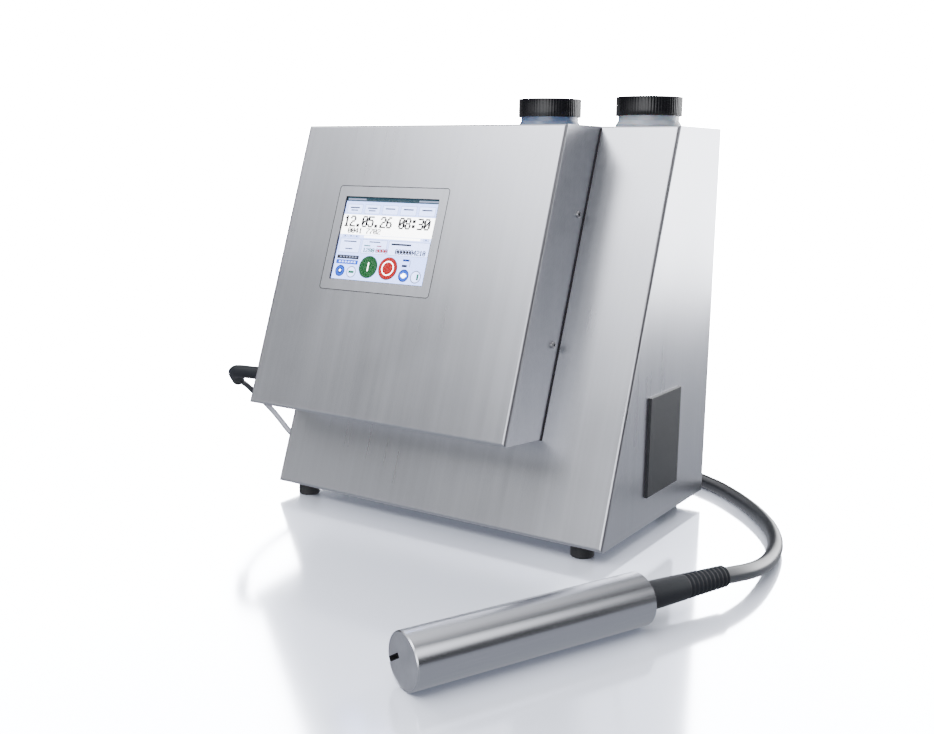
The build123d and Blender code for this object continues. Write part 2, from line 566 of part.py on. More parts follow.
def cap(x):
    """A screw cap with a rolled top edge."""
    up = (0, 0, 1)
    shape = rod((x, NECK_Y, CAP_LOW), up, CAP_R, CAP_HIGH - CAP_LOW)
    shape = fillet(shape.edges().sort_by(Axis.Z)[-1:], CAP_EDGE_R)
    return shape - rod((x, NECK_Y, CAP_LOW - 1), up, NECK_R + CAP_GAP,
                       CAP_HIGH - CAP_ROOF - CAP_LOW + 1)


def cap_liner(x):
    """The loose sealing disc under the cap's roof, on the neck's rim."""
    z = CAP_HIGH - CAP_ROOF - LINER_T
    return rod((x, NECK_Y, z), (0, 0, 1), NECK_R, LINER_T)


# ================================================================ air inlet
def vent_cover():
    """The snap-on cover in the right side, with four clip legs."""
    x = CABINET_W
    cover = block(x, x + VENT_T, VENT_Y - VENT_W / 2, VENT_Y + VENT_W / 2,
                  VENT_Z - VENT_H / 2, VENT_Z + VENT_H / 2)
    cover = fillet(cover.edges().filter_by(lambda e: touches(e, lambda p: p.X > x + 1)), 0.8)
    width, thick = VENT_CLIP
    for side in (-1, 1):
        z = VENT_Z + side * (VENT_HOLE_H / 2 - SLIP)
        for y in (VENT_Y - 18, VENT_Y + 18):
            cover += block(x - VENT_CLIP_L, x, y - width / 2, y + width / 2,
                           min(z, z - side * thick), max(z, z - side * thick))
    return cover


def filter_mat():
    """The dust mat behind the cover."""
    x1 = CABINET_W
    half = VENT_HOLE_W / 2 - SLIP
    return block(x1 - MAT_T, x1, VENT_Y - half, VENT_Y + half, VENT_Z - MAT_H / 2, VENT_Z + MAT_H / 2)


def fan_frame():
    """A square fan frame with its spider and shaft at the inner side."""
    half = FAN_SIDE / 2
    frame = block(FAN_X0, FAN_X1, VENT_Y - half, VENT_Y + half, VENT_Z - half, VENT_Z + half)
    frame = fillet(frame.edges().filter_by(Axis.X), 3.0)
    frame -= rod((FAN_X0 - 1, VENT_Y, VENT_Z), (1, 0, 0), FAN_BORE_R, FAN_T + 2)
    spider = rod((FAN_X0, VENT_Y, VENT_Z), (1, 0, 0), FAN_HUB_R, FAN_SPIDER_T)
    for turn in range(3):
        arm = block(FAN_X0, FAN_X0 + FAN_SPIDER_T, -2, 2, 0, FAN_BORE_R + 1)
        spider += Pos(0, VENT_Y, VENT_Z) * Rot(X=60 + 120 * turn) * arm
    spider += rod((FAN_X0, VENT_Y, VENT_Z), (1, 0, 0), FAN_SHAFT_R, FAN_T - 8)
    return frame + spider


def fan_rotor():
    """The fan's hub and blades, on the frame's shaft."""
    x0, x1 = FAN_X0 + FAN_SPIDER_T + 0.5, FAN_X1 - 3
    rotor = rod((x0, 0, 0), (1, 0, 0), FAN_HUB_R, x1 - x0)
    for i in range(FAN_BLADES):
        blade = block(-9, 9, -FAN_BLADE_T / 2, FAN_BLADE_T / 2, FAN_HUB_R - 2, FAN_BLADE_R)
        rotor += Rot(X=i * 360 / FAN_BLADES) * Pos((x0 + x1) / 2, 0, 0) * Rot(Z=38) * blade
    rotor -= rod((x0 - 1, 0, 0), (1, 0, 0), FAN_SHAFT_R + RUN, x1 - x0 - 2)
    return Pos(0, VENT_Y, VENT_Z) * rotor


# ================================================================ ink system
def service_tank():
    """The mixing tank that ink and solvent run down into."""
    tank_body = rod((SERVICE_X, SERVICE_Y, TRAY_TOP), (0, 0, 1), SERVICE_R, SERVICE_H)
    tank_body = fillet(tank_body.edges(), 3.0)
    tank_body += rod((SERVICE_X, SERVICE_Y, SERVICE_TOP - 1), (0, 0, 1), PORT_R + 1.5, PORT_L + 1)
    tank_body += rod((SERVICE_X + SERVICE_R - 2, SERVICE_Y, TRAY_TOP + 14), (1, 0, 0), PORT_R,
                     PORT_L + 2)
    inside = rod((SERVICE_X, SERVICE_Y, TRAY_TOP + 3), (0, 0, 1), SERVICE_R - 3, SERVICE_H - 6)
    tank_body -= inside
    return tank_body - rod((SERVICE_X, SERVICE_Y, SERVICE_TOP - 10), (0, 0, 1), PORT_R - 1, OPEN)


def pump_body():
    """The gear pump's block with its two ports."""
    body = centred(PUMP_SIDE, PUMP_SIDE, PUMP_H, PUMP_X, PUMP_Y, TRAY_TOP)
    body = chamfer(body.edges().filter_by(Axis.Z), 4.0)
    body += rod((PUMP_X - PUMP_SIDE / 2 - PORT_L, PUMP_Y, TRAY_TOP + 14), (1, 0, 0), PORT_R,
                PORT_L + 1)
    body += rod((PUMP_X, PUMP_Y - PUMP_SIDE / 2 - PORT_L, TRAY_TOP + 14), (0, 1, 0), PORT_R,
                PORT_L + 1)
    return body - rod((PUMP_X, PUMP_Y, PUMP_TOP - 14), (0, 0, 1), SHAFT_R + RUN, OPEN)


def pump_motor():
    """The motor's can, with a bearing boss at each end."""
    can = rod((PUMP_X, PUMP_Y, PUMP_TOP), (0, 0, 1), MOTOR_R, MOTOR_H)
    can -= rod((PUMP_X, PUMP_Y, PUMP_TOP + MOTOR_WALL), (0, 0, 1), MOTOR_R - MOTOR_WALL,
               MOTOR_H - 2 * MOTOR_WALL)
    for z, length in ((PUMP_TOP, 9.0), (MOTOR_TOP - 9.0, 9.0)):
        can += rod((PUMP_X, PUMP_Y, z), (0, 0, 1), SHAFT_R + 4, length)
    return can - rod((PUMP_X, PUMP_Y, PUMP_TOP - 1), (0, 0, 1), SHAFT_R + RUN, MOTOR_H - 1)


def pump_rotor():
    """The motor's rotor on the shaft that drives the pump."""
    low = PUMP_TOP + 11
    rotor = rod((PUMP_X, PUMP_Y, low), (0, 0, 1), ROTOR_R, ROTOR_L)
    return rotor + rod((PUMP_X, PUMP_Y, PUMP_TOP - 13), (0, 0, 1), SHAFT_R, MOTOR_H + 7)


def ink_filter():
    """The upright main filter cartridge."""
    body = rod((FILTER_X, FILTER_Y, TRAY_TOP), (0, 0, 1), FILTER_R, FILTER_H)
    body = fillet(body.edges(), 4.0)
    return body + hexagon((FILTER_X, FILTER_Y, TRAY_TOP + FILTER_H - 1), (0, 0, 1), 20, 7)


def pulse_damper():
    """The round damper that evens out the pump's beat."""
    body = rod((DAMPER_X, DAMPER_Y, TRAY_TOP), (0, 0, 1), DAMPER_R, DAMPER_H)
    return fillet(body.edges(), 5.0)


COIL_XS = [VALVE_X + (i - (COILS - 1) / 2) * (COIL_SIDE + 6) for i in range(COILS)]


def valve_block():
    """The drilled manifold under the four valves."""
    body = centred(VALVE_W, VALVE_D, VALVE_H, VALVE_X, VALVE_Y, TRAY_TOP)
    body = chamfer(body.edges().filter_by(Axis.Z), 2.0)
    for x in COIL_XS:
        body += rod((x, VALVE_Y, VALVE_TOP - 1), (0, 0, 1), 3.5, COIL_H + 5)
    return body + rod((VALVE_X + VALVE_W / 2 - 1, VALVE_Y, TRAY_TOP + 14), (1, 0, 0), PORT_R,
                      PORT_L + 1)


def valve_coils():
    """A solenoid coil on each valve stem."""
    coils = []
    for x in COIL_XS:
        coil = centred(COIL_SIDE, COIL_SIDE + 4, COIL_H, x, VALVE_Y, VALVE_TOP)
        coil = fillet(coil.edges().filter_by(Axis.Z), 2.0)
        coils.append(coil - rod((x, VALVE_Y, VALVE_TOP - 1), (0, 0, 1), 3.5, COIL_H + 2))
    return coils


def ink_hoses():
    """The hoses inside: ink and solvent down, service tank to pump, pump to valves."""
    outlet_z = TANK_BASE - OUTLET_L
    ink = [(INK_X, NECK_Y, outlet_z), (INK_X, NECK_Y, outlet_z - 34),
           (SERVICE_X, SERVICE_Y, SERVICE_TOP + PORT_L + 34), (SERVICE_X, SERVICE_Y, SERVICE_TOP + PORT_L)]
    port_z = TRAY_TOP + 14
    valve_x = VALVE_X + VALVE_W / 2 + PORT_L
    solvent = [(SOLVENT_X, NECK_Y, outlet_z), (SOLVENT_X, NECK_Y, outlet_z - 50),
               (SOLVENT_X, VALVE_Y, outlet_z - 120), (SOLVENT_X, VALVE_Y, port_z + 30),
               (SOLVENT_X - 16, VALVE_Y, port_z), (valve_x, VALVE_Y, port_z)]
    suction = [(SERVICE_X + SERVICE_R + PORT_L, SERVICE_Y, port_z),
               (PUMP_X - PUMP_SIDE / 2 - PORT_L, PUMP_Y, port_z)]
    hoses = []
    for name, route in (("ink hose", ink), ("solvent hose", solvent)):
        hoses.append(cord(name, route, HOSE_R))
    gap = suction[1][0] - suction[0][0]
    if gap > 1.0:
        reach = Vector(*suction[1]) - Vector(*suction[0])
        hoses.append(rod(suction[0], reach.normalized(), HOSE_R, reach.length))
    return hoses


# ================================================================ electronics
MAIN_BOARD_Y = -58.0


def power_supply():
    """The mains power supply in its folded cover."""
    body = centred(SUPPLY_W, SUPPLY_D, SUPPLY_H, SUPPLY_X, SUPPLY_Y, TRAY_TOP)
    for i in range(7):
        y = SUPPLY_Y - SUPPLY_D / 2 + 20 + i * 15
        body -= block(SUPPLY_X - SUPPLY_W / 2 + 10, SUPPLY_X + SUPPLY_W / 2 - 10, y, y + 6,
                      TRAY_TOP + SUPPLY_H - 3, TRAY_TOP + SUPPLY_H + 1)
    return body


def main_board():
    """The main board beside the partition, with its heat sink, relays and plug strips."""
    x1 = PARTITION_X - BOARD_STANDOFF_L
    x0 = x1 - BOARD_T
    board = block(x0, x1, MAIN_BOARD_Y - BOARD_D / 2, MAIN_BOARD_Y + BOARD_D / 2, BOARD_LOW,
                  BOARD_LOW + BOARD_H)
    for y, z, d, h, t in ((-14, 60, 40, 40, 16), (20, 60, 12, 90, 10), (0, 130, 60, 14, 12),
                          (-10, 180, 40, 30, 8), (0, 215, 66, 12, 10)):
        board += block(x0 - t, x0, MAIN_BOARD_Y + y - d / 2, MAIN_BOARD_Y + y + d / 2,
                       BOARD_LOW + z - h / 2, BOARD_LOW + z + h / 2)
    return board


# ================================================================ connections at the rear
def mains_inlet():
    """The inlet module: socket with three blades, fuse drawer well and rocker well."""
    x, z = INLET_X, INLET_Z
    half_w, half_h = INLET_W / 2, INLET_H / 2
    body = block(x - half_w, x + half_w, -INLET_DEPTH, 0, z - half_h, z + half_h)
    rim = block(x - half_w - INLET_RIM, x + half_w + INLET_RIM, 0, INLET_RIM_T,
                z - half_h - INLET_RIM, z + half_h + INLET_RIM)
    body += fillet(rim.edges().filter_by(Axis.Y), 2.0)
    socket_z = z + IEC_DZ
    body -= block(x - IEC_W / 2, x + IEC_W / 2, INLET_RIM_T - IEC_DEPTH, INLET_RIM_T + 1,
                  socket_z - IEC_H / 2, socket_z + IEC_H / 2)
    for dx, dz in ((-7, -1.5), (7, -1.5), (0, 3)):
        body += block(x + dx - 1, x + dx + 1, INLET_RIM_T - IEC_DEPTH, -1,
                      socket_z + dz - 2, socket_z + dz + 2)
    drawer_z = z + DRAWER_DZ
    body -= block(x - DRAWER_W / 2, x + DRAWER_W / 2, INLET_RIM_T - DRAWER_L - INLET_GAP,
                  INLET_RIM_T + 1, drawer_z - DRAWER_H / 2, drawer_z + DRAWER_H / 2)
    rocker_z = z + ROCKER_DZ
    half = ROCKER_W / 2 + INLET_GAP
    body -= block(x - half, x + half, INLET_RIM_T - ROCKER_WELL, INLET_RIM_T + 1,
                  rocker_z - ROCKER_H / 2, rocker_z + ROCKER_H / 2)
    return body - rod((x - half - 2, INLET_RIM_T - 6, rocker_z), (1, 0, 0), ROCKER_PIN_R + RUN,
                      2 * half + 4)


def fuse_drawer():
    """The little drawer that holds the fuses."""
    z = INLET_Z + DRAWER_DZ
    half_w, half_h = DRAWER_W / 2 - INLET_GAP, DRAWER_H / 2 - INLET_GAP
    drawer = block(INLET_X - half_w, INLET_X + half_w, INLET_RIM_T - DRAWER_L, INLET_RIM_T + 0.8,
                   z - half_h, z + half_h)
    return drawer - block(INLET_X - half_w + 2, INLET_X + half_w - 2, INLET_RIM_T - DRAWER_L + 2,
                          INLET_RIM_T - 2, z - half_h + 1.2, z + half_h + 1)


def mains_rocker():
    """The power rocker, resting with its upper half out."""
    outline = [(-3.5, -3.0), (-3.5, 3.0), (4.0, 5.4), (2.6, 0.0), (4.0, -5.4)]
    rocker = slab(outline, -ROCKER_W / 2, ROCKER_W / 2)
    rocker += rod((-ROCKER_W / 2 - 1.8, 0, 0), (1, 0, 0), ROCKER_PIN_R, ROCKER_W + 3.6)
    return Pos(INLET_X, INLET_RIM_T - 6, INLET_Z + ROCKER_DZ) * Rot(X=-ROCKER_TILT) * rocker


def signal_sockets():
    """Four round M12 sockets for the sensor, encoder and alarm leads."""
    sockets = []
    for x in SOCKET_XS:
        socket = rod((x, 0, SOCKET_Z), (0, 1, 0), SOCKET_FLANGE_R, SOCKET_FLANGE_T)
        socket += rod((x, -SOCKET_TAIL_L, SOCKET_Z), (0, 1, 0), SOCKET_R,
                      SOCKET_TAIL_L + SOCKET_FLANGE_T + SOCKET_L)
        mouth = SOCKET_FLANGE_T + SOCKET_L
        socket -= rod((x, mouth - 7, SOCKET_Z), (0, 1, 0), SOCKET_BORE_R, 8)
        for a, b in ((2, 2), (-2, 2), (2, -2), (-2, -2)):
            socket += rod((x + a, mouth - 8, SOCKET_Z + b), (0, 1, 0), 0.5, 6)
        sockets.append(socket)
    return sockets


def network_socket():
    """The network socket for the line's computer."""
    x, z = NETWORK_X, NETWORK_Z
    body = block(x - NETWORK_W / 2, x + NETWORK_W / 2, 2 - NETWORK_L, 1, z - NETWORK_H / 2,
                 z + NETWORK_H / 2)
    body += block(x - NETWORK_W / 2 - NETWORK_RIM, x + NETWORK_W / 2 + NETWORK_RIM, 0, 2,
                  z - NETWORK_H / 2 - NETWORK_RIM, z + NETWORK_H / 2 + NETWORK_RIM)
    return body - block(x - NETWORK_HOLE_W / 2, x + NETWORK_HOLE_W / 2, 2 - NETWORK_HOLE_L, 3,
                        z - NETWORK_HOLE_H / 2, z + NETWORK_HOLE_H / 2)


# ================================================================ umbilical
def umbilical_gland():
    """The gland that clamps the umbilical in the rear panel, with its locknut inside."""
    gland = hexagon((GLAND_X, 0, GLAND_Z), (0, 1, 0), GLAND_NUT_AF, GLAND_NUT_T)
    gland += rod((GLAND_X, GLAND_NUT_T, GLAND_Z), (0, 1, 0), GLAND_NUT_AF / 2 - 0.5, GLAND_DOME_L)
    gland += rod((GLAND_X, -SHEET - GLAND_LOCKNUT_T - 4, GLAND_Z), (0, 1, 0), GLAND_R,
                 GLAND_LOCKNUT_T + 5 + SHEET)
    return gland + hexagon((GLAND_X, -SHEET - GLAND_LOCKNUT_T, GLAND_Z), (0, 1, 0),
                           2 * GLAND_LOCKNUT_R * cos(pi / 6), GLAND_LOCKNUT_T)


def rear_boot():
    """The ribbed bend relief on the gland."""
    start = (GLAND_X, GLAND_NUT_T + GLAND_DOME_L, GLAND_Z)
    return ribbed(start, (0, 1, 0), REAR_BOOT_R, REAR_BOOT_TIP_R, REAR_BOOT_L, 12.0, 6)


def umbilical_coil():
    """The outer shape of the spare length: two whole turns with half a turn more on top."""
    def ring(z0, z1, r0=COIL_R - UMBILICAL_R, r1=COIL_R + UMBILICAL_R):
        low = (Align.CENTER, Align.CENTER, Align.MIN)
        whole = Cylinder(r1, z1 - z0, align=low) - Cylinder(r0, z1 - z0, align=low)
        return Pos(COIL_X, COIL_Y, z0) * whole
    layer = 2 * UMBILICAL_R
    top = ring(2 * layer, 3 * layer)
    far = COIL_R + UMBILICAL_R + 1
    top &= block(COIL_X - far, COIL_X + far, COIL_Y, COIL_Y + far, 0, OPEN)
    leaving = block(COIL_X, COIL_X + far, COIL_Y - COIL_R / 2, COIL_Y, -1, layer)
    return ring(0, 2 * layer) + top - leaving


def coil_tie():
    """The strap that holds the coil's turns together."""
    layer = 2 * UMBILICAL_R
    gap = 3 * SLIP
    inner = block(COIL_R - UMBILICAL_R - gap, COIL_R + UMBILICAL_R + gap, -TIE_W / 2, TIE_W / 2,
                  0, 3 * layer + SLIP)
    outer = block(COIL_R - UMBILICAL_R - gap - TIE_T, COIL_R + UMBILICAL_R + gap + TIE_T,
                  -TIE_W / 2, TIE_W / 2, 0, 3 * layer + SLIP + TIE_T)
    outer = fillet(outer.edges().filter_by(lambda e: touches(e, lambda p: p.Z > layer)
                                           and abs((e % 0.5).Y) > 0.9), TIE_T)
    strap = outer - inner
    return Pos(COIL_X, COIL_Y, 0) * Rot(Z=TIE_AT) * strap


# ================================================================ print head
def head_tube():
    """The steel cover tube, notched at the front where the jet comes out."""
    tube = rod((0, 0, 0), (1, 0, 0), HEAD_R, HEAD_L)
    tube = chamfer(tube.edges(), HEAD_CHAMFER)
    tube -= rod((-1, 0, 0), (1, 0, 0), HEAD_BORE_R, HEAD_L + 2)
    return HEAD * (tube - slot_cutter())


def slot_cutter():
    """The slot from near the middle of the face out through the rim."""
    return block(-1, SLOT_DEPTH, SLOT_END_Y, HEAD_R + 1, SLOT_Z - SLOT_W / 2, SLOT_Z + SLOT_W / 2)


def head_cap():
    """The front plate in the tube's mouth, with the slot."""
    plate = rod((CAP_PLATE_SET, 0, 0), (1, 0, 0), HEAD_BORE_R, CAP_PLATE_T)
    return HEAD * (plate - slot_cutter())


def head_chassis():
    """The rear plug that the tube slides over, and the deck that carries the jet parts."""
    x1 = HEAD_L - PLUG_SET
    x0 = x1 - PLUG_T
    chassis = rod((x0, 0, 0), (1, 0, 0), HEAD_BORE_R - HEAD_FIT, PLUG_T)
    chassis += block(DECK_X0, x0 + 1, DECK_Y0, DECK_Y1, DECK_TOP - DECK_T, DECK_TOP)
    chassis += block(NOZZLE_X + NOZZLE_L + NOZZLE_GAP, x0 + 1, DECK_Y0, DECK_Y1, DECK_TOP - 1, DECK_TOP + 12)
    return HEAD * (chassis - rod((x1 - 6, 0, 0), (1, 0, 0), HEAD_BOOT_R, 10))


def nozzle_body():
    """The drop generator with its nozzle tip."""
    half = NOZZLE_SIDE / 2
    body = block(NOZZLE_X, NOZZLE_X + NOZZLE_L, JET_Y - half, JET_Y + half, DECK_TOP, SLOT_Z + half)
    return HEAD * (body + rod((NOZZLE_X, JET_Y, SLOT_Z), (-1, 0, 0), NOZZLE_TIP_R, NOZZLE_TIP_L, 1.6))


def charge_electrode():
    """The charging block, with an open channel for the jet."""
    half = CHARGE_W / 2
    body = block(CHARGE_X, CHARGE_X + CHARGE_L, JET_Y - half, JET_Y + half, DECK_TOP, SLOT_Z + half)
    gap = CHARGE_CHANNEL / 2
    return HEAD * (body - block(CHARGE_X - 1, CHARGE_X + CHARGE_L + 1, JET_Y - gap, JET_Y + gap,
                                DECK_TOP - 1, SLOT_Z + half + 1)
                   + block(CHARGE_X, CHARGE_X + CHARGE_L, JET_Y - half, JET_Y + half,
                           SLOT_Z + half - 2, SLOT_Z + half))


def deflector_plates():
    """The two high-voltage plates each side of the jet."""
    return [HEAD * block(DEFLECT_X, DEFLECT_X + DEFLECT_L, y, y + DEFLECT_T, DECK_TOP,
                         DECK_TOP + DEFLECT_H) for y in DEFLECT_YS]


def gutter():
    """The catcher tube on its foot, which slides back along the deck to seal the nozzle."""
    pipe = rod((GUTTER_X, JET_Y, SLOT_Z), (1, 0, 0), GUTTER_R, GUTTER_L)
    half = GUTTER_FOOT_W / 2
    pipe += block(GUTTER_X, GUTTER_X + GUTTER_L - 4, JET_Y - half, JET_Y + half, DECK_TOP + 0.05,
                  SLOT_Z)
    return HEAD * (pipe - rod((GUTTER_X + 3, JET_Y, SLOT_Z), (1, 0, 0), GUTTER_BORE_R, GUTTER_L))


def head_boot():
    """The ribbed bend relief between the head and the umbilical."""
    start = HEAD_L - PLUG_SET - 6
    length = HEAD_L + HEAD_BOOT_L - start
    sleeve = ribbed((start, 0, 0), (1, 0, 0), HEAD_BOOT_R, HEAD_BOOT_TIP_R, length,
                    HEAD_BOOT_SMOOTH + HEAD_L - start, HEAD_BOOT_RIBS)
    return HEAD * sleeve


# ================================================================ link cable
def link_relief():
    """The bend relief on the housing's left side, turning down to the thin cable."""
    start = Vector(*RELIEF_ROUTE[0])
    run = (Vector(*RELIEF_ROUTE[1]) - start).normalized()
    collar = rod(start, (-1, 0, 0), RELIEF_COLLAR_R, RELIEF_COLLAR_T)
    points = [Vector(*p) for p in RELIEF_ROUTE]
    points[0] = start + run * 1.0
    path = FilletPolyline(*points, radius=[RELIEF_BEND_R])
    sleeve = sweep(Plane(origin=path @ 0, z_dir=path % 0) * Circle(RELIEF_R), path)
    return collar + sleeve


def link_gland():
    """The small gland where the link cable goes back into the cabinet."""
    x, y, z = LINK_ROUTE[-1]
    gland = hexagon((x, y, z), (1, 0, 0), LINK_GLAND_HEX_AF, -x)
    return gland + rod((-1, y, z), (1, 0, 0), LINK_GLAND_R, SHEET + LINK_GLAND_INSIDE + 1)


# ================================================================ the whole object
NODES = {
    "cabinet_shell": cabinet_shell, "base_tray": base_tray, "rear_panel": rear_panel,
    "panel_screws": lambda: [screw(*place) for place in REAR_SCREWS + FOOT_SCREWS],
    "rubber_feet": rubber_feet, "partition_panel": partition_panel, "tank_shelf": tank_shelf,
    "display_housing": display_housing, "housing_frame": housing_frame,
    "housing_screws": lambda: [screw(*place) for place in HOUSING_SCREWS],
    "cable_grommet": cable_grommet, "display_bezel": display_bezel,
    "screen_carrier": screen_carrier, "touch_glass": touch_glass, "lcd_module": lcd_module,
    "board_standoffs": board_standoffs, "control_board": control_board,
    "ink_tank": lambda: tank(INK_X), "solvent_tank": lambda: tank(SOLVENT_X),
    "ink_cap": lambda: cap(INK_X), "ink_cap_liner": lambda: cap_liner(INK_X),
    "solvent_cap": lambda: cap(SOLVENT_X), "solvent_cap_liner": lambda: cap_liner(SOLVENT_X),
    "vent_cover": vent_cover, "filter_mat": filter_mat, "fan_frame": fan_frame,
    "fan_rotor": fan_rotor, "service_tank": service_tank, "pump_body": pump_body,
    "pump_motor": pump_motor, "pump_rotor": pump_rotor, "ink_filter": ink_filter,
    "pulse_damper": pulse_damper, "valve_block": valve_block, "valve_coils": valve_coils,
    "ink_hoses": ink_hoses, "power_supply": power_supply, "main_board": main_board,
    "mains_inlet": mains_inlet, "fuse_drawer": fuse_drawer, "mains_rocker": mains_rocker,
    "signal_sockets": signal_sockets, "network_socket": network_socket,
    "umbilical_gland": umbilical_gland, "umbilical_rear_boot": rear_boot,
    "umbilical_lead": lambda: cord("umbilical lead", LEAD_ROUTE, UMBILICAL_R),
    "umbilical_coil": umbilical_coil, "coil_tie": coil_tie,
    "umbilical": lambda: cord("umbilical", UMBILICAL_ROUTE, UMBILICAL_R),
    "head_boot": head_boot, "head_tube": head_tube, "head_cap": head_cap,
    "head_chassis": head_chassis, "nozzle_body": nozzle_body,
    "charge_electrode": charge_electrode, "deflector_plates": deflector_plates, "gutter": gutter,
    "link_relief": link_relief,
    "link_cable": lambda: cord("link cable", LINK_ROUTE, LINK_R), "link_gland": link_gland,
}
CORD_NODES = ("umbilical_lead", "umbilical_coil", "umbilical", "coil_tie", "link_cable")

built = {}
for node, make in NODES.items():
    pieces = make()
    built[node] = pieces if isinstance(pieces, list) else [pieces]
    print(node, "built")

body_box = Compound([Compound(p) if isinstance(p, list) else p
                     for n, p in built.items() if n not in CORD_NODES]).bounding_box()
ORIGIN = Vector((body_box.min.X + body_box.max.X) / 2, (body_box.min.Y + body_box.max.Y) / 2, 0)
print("origin from the cabinet's rear left corner", ORIGIN)
print("umbilical in the coil", round(COIL_TURNS * 2 * pi * COIL_R, 1))

os.makedirs("parts", exist_ok=True)
for node, pieces in built.items():
    solids = [Pos(*(-ORIGIN)) * solid for piece in pieces for solid in piece.solids()]
    export_step(solids[0] if len(solids) == 1 else Compound(solids), f"parts/{node}.step")
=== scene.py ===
from math import atan2, cos, pi, radians, sin

import bpy
from mathutils import Matrix, Vector


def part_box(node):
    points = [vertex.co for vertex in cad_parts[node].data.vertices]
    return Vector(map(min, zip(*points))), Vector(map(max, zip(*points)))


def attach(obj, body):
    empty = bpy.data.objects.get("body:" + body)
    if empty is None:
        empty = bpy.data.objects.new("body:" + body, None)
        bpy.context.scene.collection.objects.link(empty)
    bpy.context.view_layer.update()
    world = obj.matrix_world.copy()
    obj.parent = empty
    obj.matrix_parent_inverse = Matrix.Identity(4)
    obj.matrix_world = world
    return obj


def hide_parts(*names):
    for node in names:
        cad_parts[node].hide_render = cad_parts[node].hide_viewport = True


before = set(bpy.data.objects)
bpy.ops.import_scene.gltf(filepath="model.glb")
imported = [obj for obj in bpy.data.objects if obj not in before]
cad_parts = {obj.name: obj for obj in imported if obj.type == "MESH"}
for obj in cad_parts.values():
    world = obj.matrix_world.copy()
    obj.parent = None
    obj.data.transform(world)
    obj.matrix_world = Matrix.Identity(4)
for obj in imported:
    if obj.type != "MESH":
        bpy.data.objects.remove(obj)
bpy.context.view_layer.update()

bl_info = {
    "name": "Date Code Inkjet Printer",
    "version": (1, 0, 0),
    "blender": (4, 5, 0),
    "location": "3D View > Sidebar > Date Coder",
    "description": "Builds the visible pieces, finishes and studio of a date code inkjet printer",
    "category": "Object",
}

# ---------------------------------------------------------------- places
# The cabinet's rear left bottom corner on the floor is where every place is measured from.
_low, _high = (Vector(p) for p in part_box("cabinet_shell"))
CORNER = Vector((_low.x, _high.y, 0.0))
MM = 0.001
SLOPE = atan2(132.8, 373.6)     # the front leans back this far over its height
FRONT_TOP = Vector((0.0, -103.5, 386.0))
UP_SLOPE = Vector((0.0, sin(SLOPE), cos(SLOPE)))
OUT = Vector((0.0, -cos(SLOPE), sin(SLOPE)))
HOUSING_T = 64.4
SCREEN_X, SCREEN_DROP = 123.0, 141.2
VIEW_W, VIEW_H = 115.2, 86.4
BEZEL_W, BEZEL_H = 134.6, 107.8
HOUSING_FOOT = (1.0, 304.5, 1.5, 306.5)     # left, right, top and bottom on the slope
INK_X, SOLVENT_X, NECK_Y = 218.0, 329.0, -52.0
COIL_X, COIL_Y, COIL_R, COIL_TURNS, CORD_D = 238.0, 121.5, 80.0, 2.5, 14.0
LINK_D = 6.0
HEAD_FRONT = Vector((375.2, -517.0, 21.0))
HEAD_HEADING, HEAD_ROLL = radians(65.81), radians(-32.75)
HEAD_LENGTH = 209.0

# The same points as the tubes in the CAD model.
LEAD_ROUTE = [(158, 62, 45), (158, 84, 43.4), (158, 104, 38.6)]
UMBILICAL_ROUTE = [
    (318, 121.5, 7), (318, 97, 7), (329, 75, 7), (348, 60.5, 7), (370.5, 48.5, 7),
    (394, 33.5, 7), (421, 9.5, 7), (450, -21, 7), (479, -61, 7), (498.5, -104, 7.2),
    (507.5, -146, 8.4), (510.5, -184, 12.5), (507, -219, 17.8), (497.8, -244.2, 21)]
LINK_ROUTE = [(-66, -226, 114), (-71.5, -210, 106), (-66, -199, 93), (-50, -194, 78.5),
              (-32, -195.5, 66), (-18, -198.5, 56.5), (-8, -199, 52)]


def at(x, y, z):
    """A point in metres from millimetres measured at the cabinet's corner."""
    return CORNER + Vector((x, y, z)) * MM


def frame_of(origin, x_axis, z_axis):
    """The matrix of a place whose X and Z directions are given."""
    z = Vector(z_axis).normalized()
    x = (Vector(x_axis) - z * Vector(x_axis).dot(z)).normalized()
    turn = Matrix((x, z.cross(x), z)).transposed().to_4x4()
    return Matrix.Translation(origin) @ turn


def on_front(x, drop, out):
    """A point given across, down the slope and out of the cabinet's front."""
    p = FRONT_TOP - UP_SLOPE * drop + OUT * out
    return at(x, p.y, p.z)


SCREEN = frame_of(on_front(SCREEN_X, SCREEN_DROP, HOUSING_T), (1, 0, 0), OUT)
HEAD_AXIS = Vector((cos(HEAD_HEADING), sin(HEAD_HEADING), 0.0))
HEAD_UP = Matrix.Rotation(HEAD_ROLL, 3, HEAD_AXIS) @ Vector((0, 0, 1))


# ---------------------------------------------------------------- modelling helpers
def clear():
    """Leaves edit mode with nothing selected."""
    if bpy.context.object and bpy.context.object.mode != "OBJECT":
        bpy.ops.object.mode_set(mode="OBJECT")
    bpy.ops.object.select_all(action="DESELECT")


def only(piece):
    """Selects one object and makes it the active one."""
    clear()
    piece.select_set(True)
    bpy.context.view_layer.objects.active = piece


def pick(piece, test, kind="FACE"):
    """In edit mode, selects the faces, edges or vertices that pass a test and nothing else."""
    bpy.ops.mesh.select_mode(type=kind)
    bpy.ops.mesh.select_all(action="DESELECT")
    bpy.ops.object.mode_set(mode="OBJECT")
    mesh = piece.data
    for one in {"FACE": mesh.polygons, "EDGE": mesh.edges, "VERT": mesh.vertices}[kind]:
        one.select = test(one)
    bpy.ops.object.mode_set(mode="EDIT")


def everything():
    """In edit mode, selects the whole mesh."""
    bpy.ops.mesh.select_all(action="SELECT")


def edit():
    """Enters edit mode with the whole mesh selected."""
    bpy.ops.object.mode_set(mode="EDIT")
    everything()


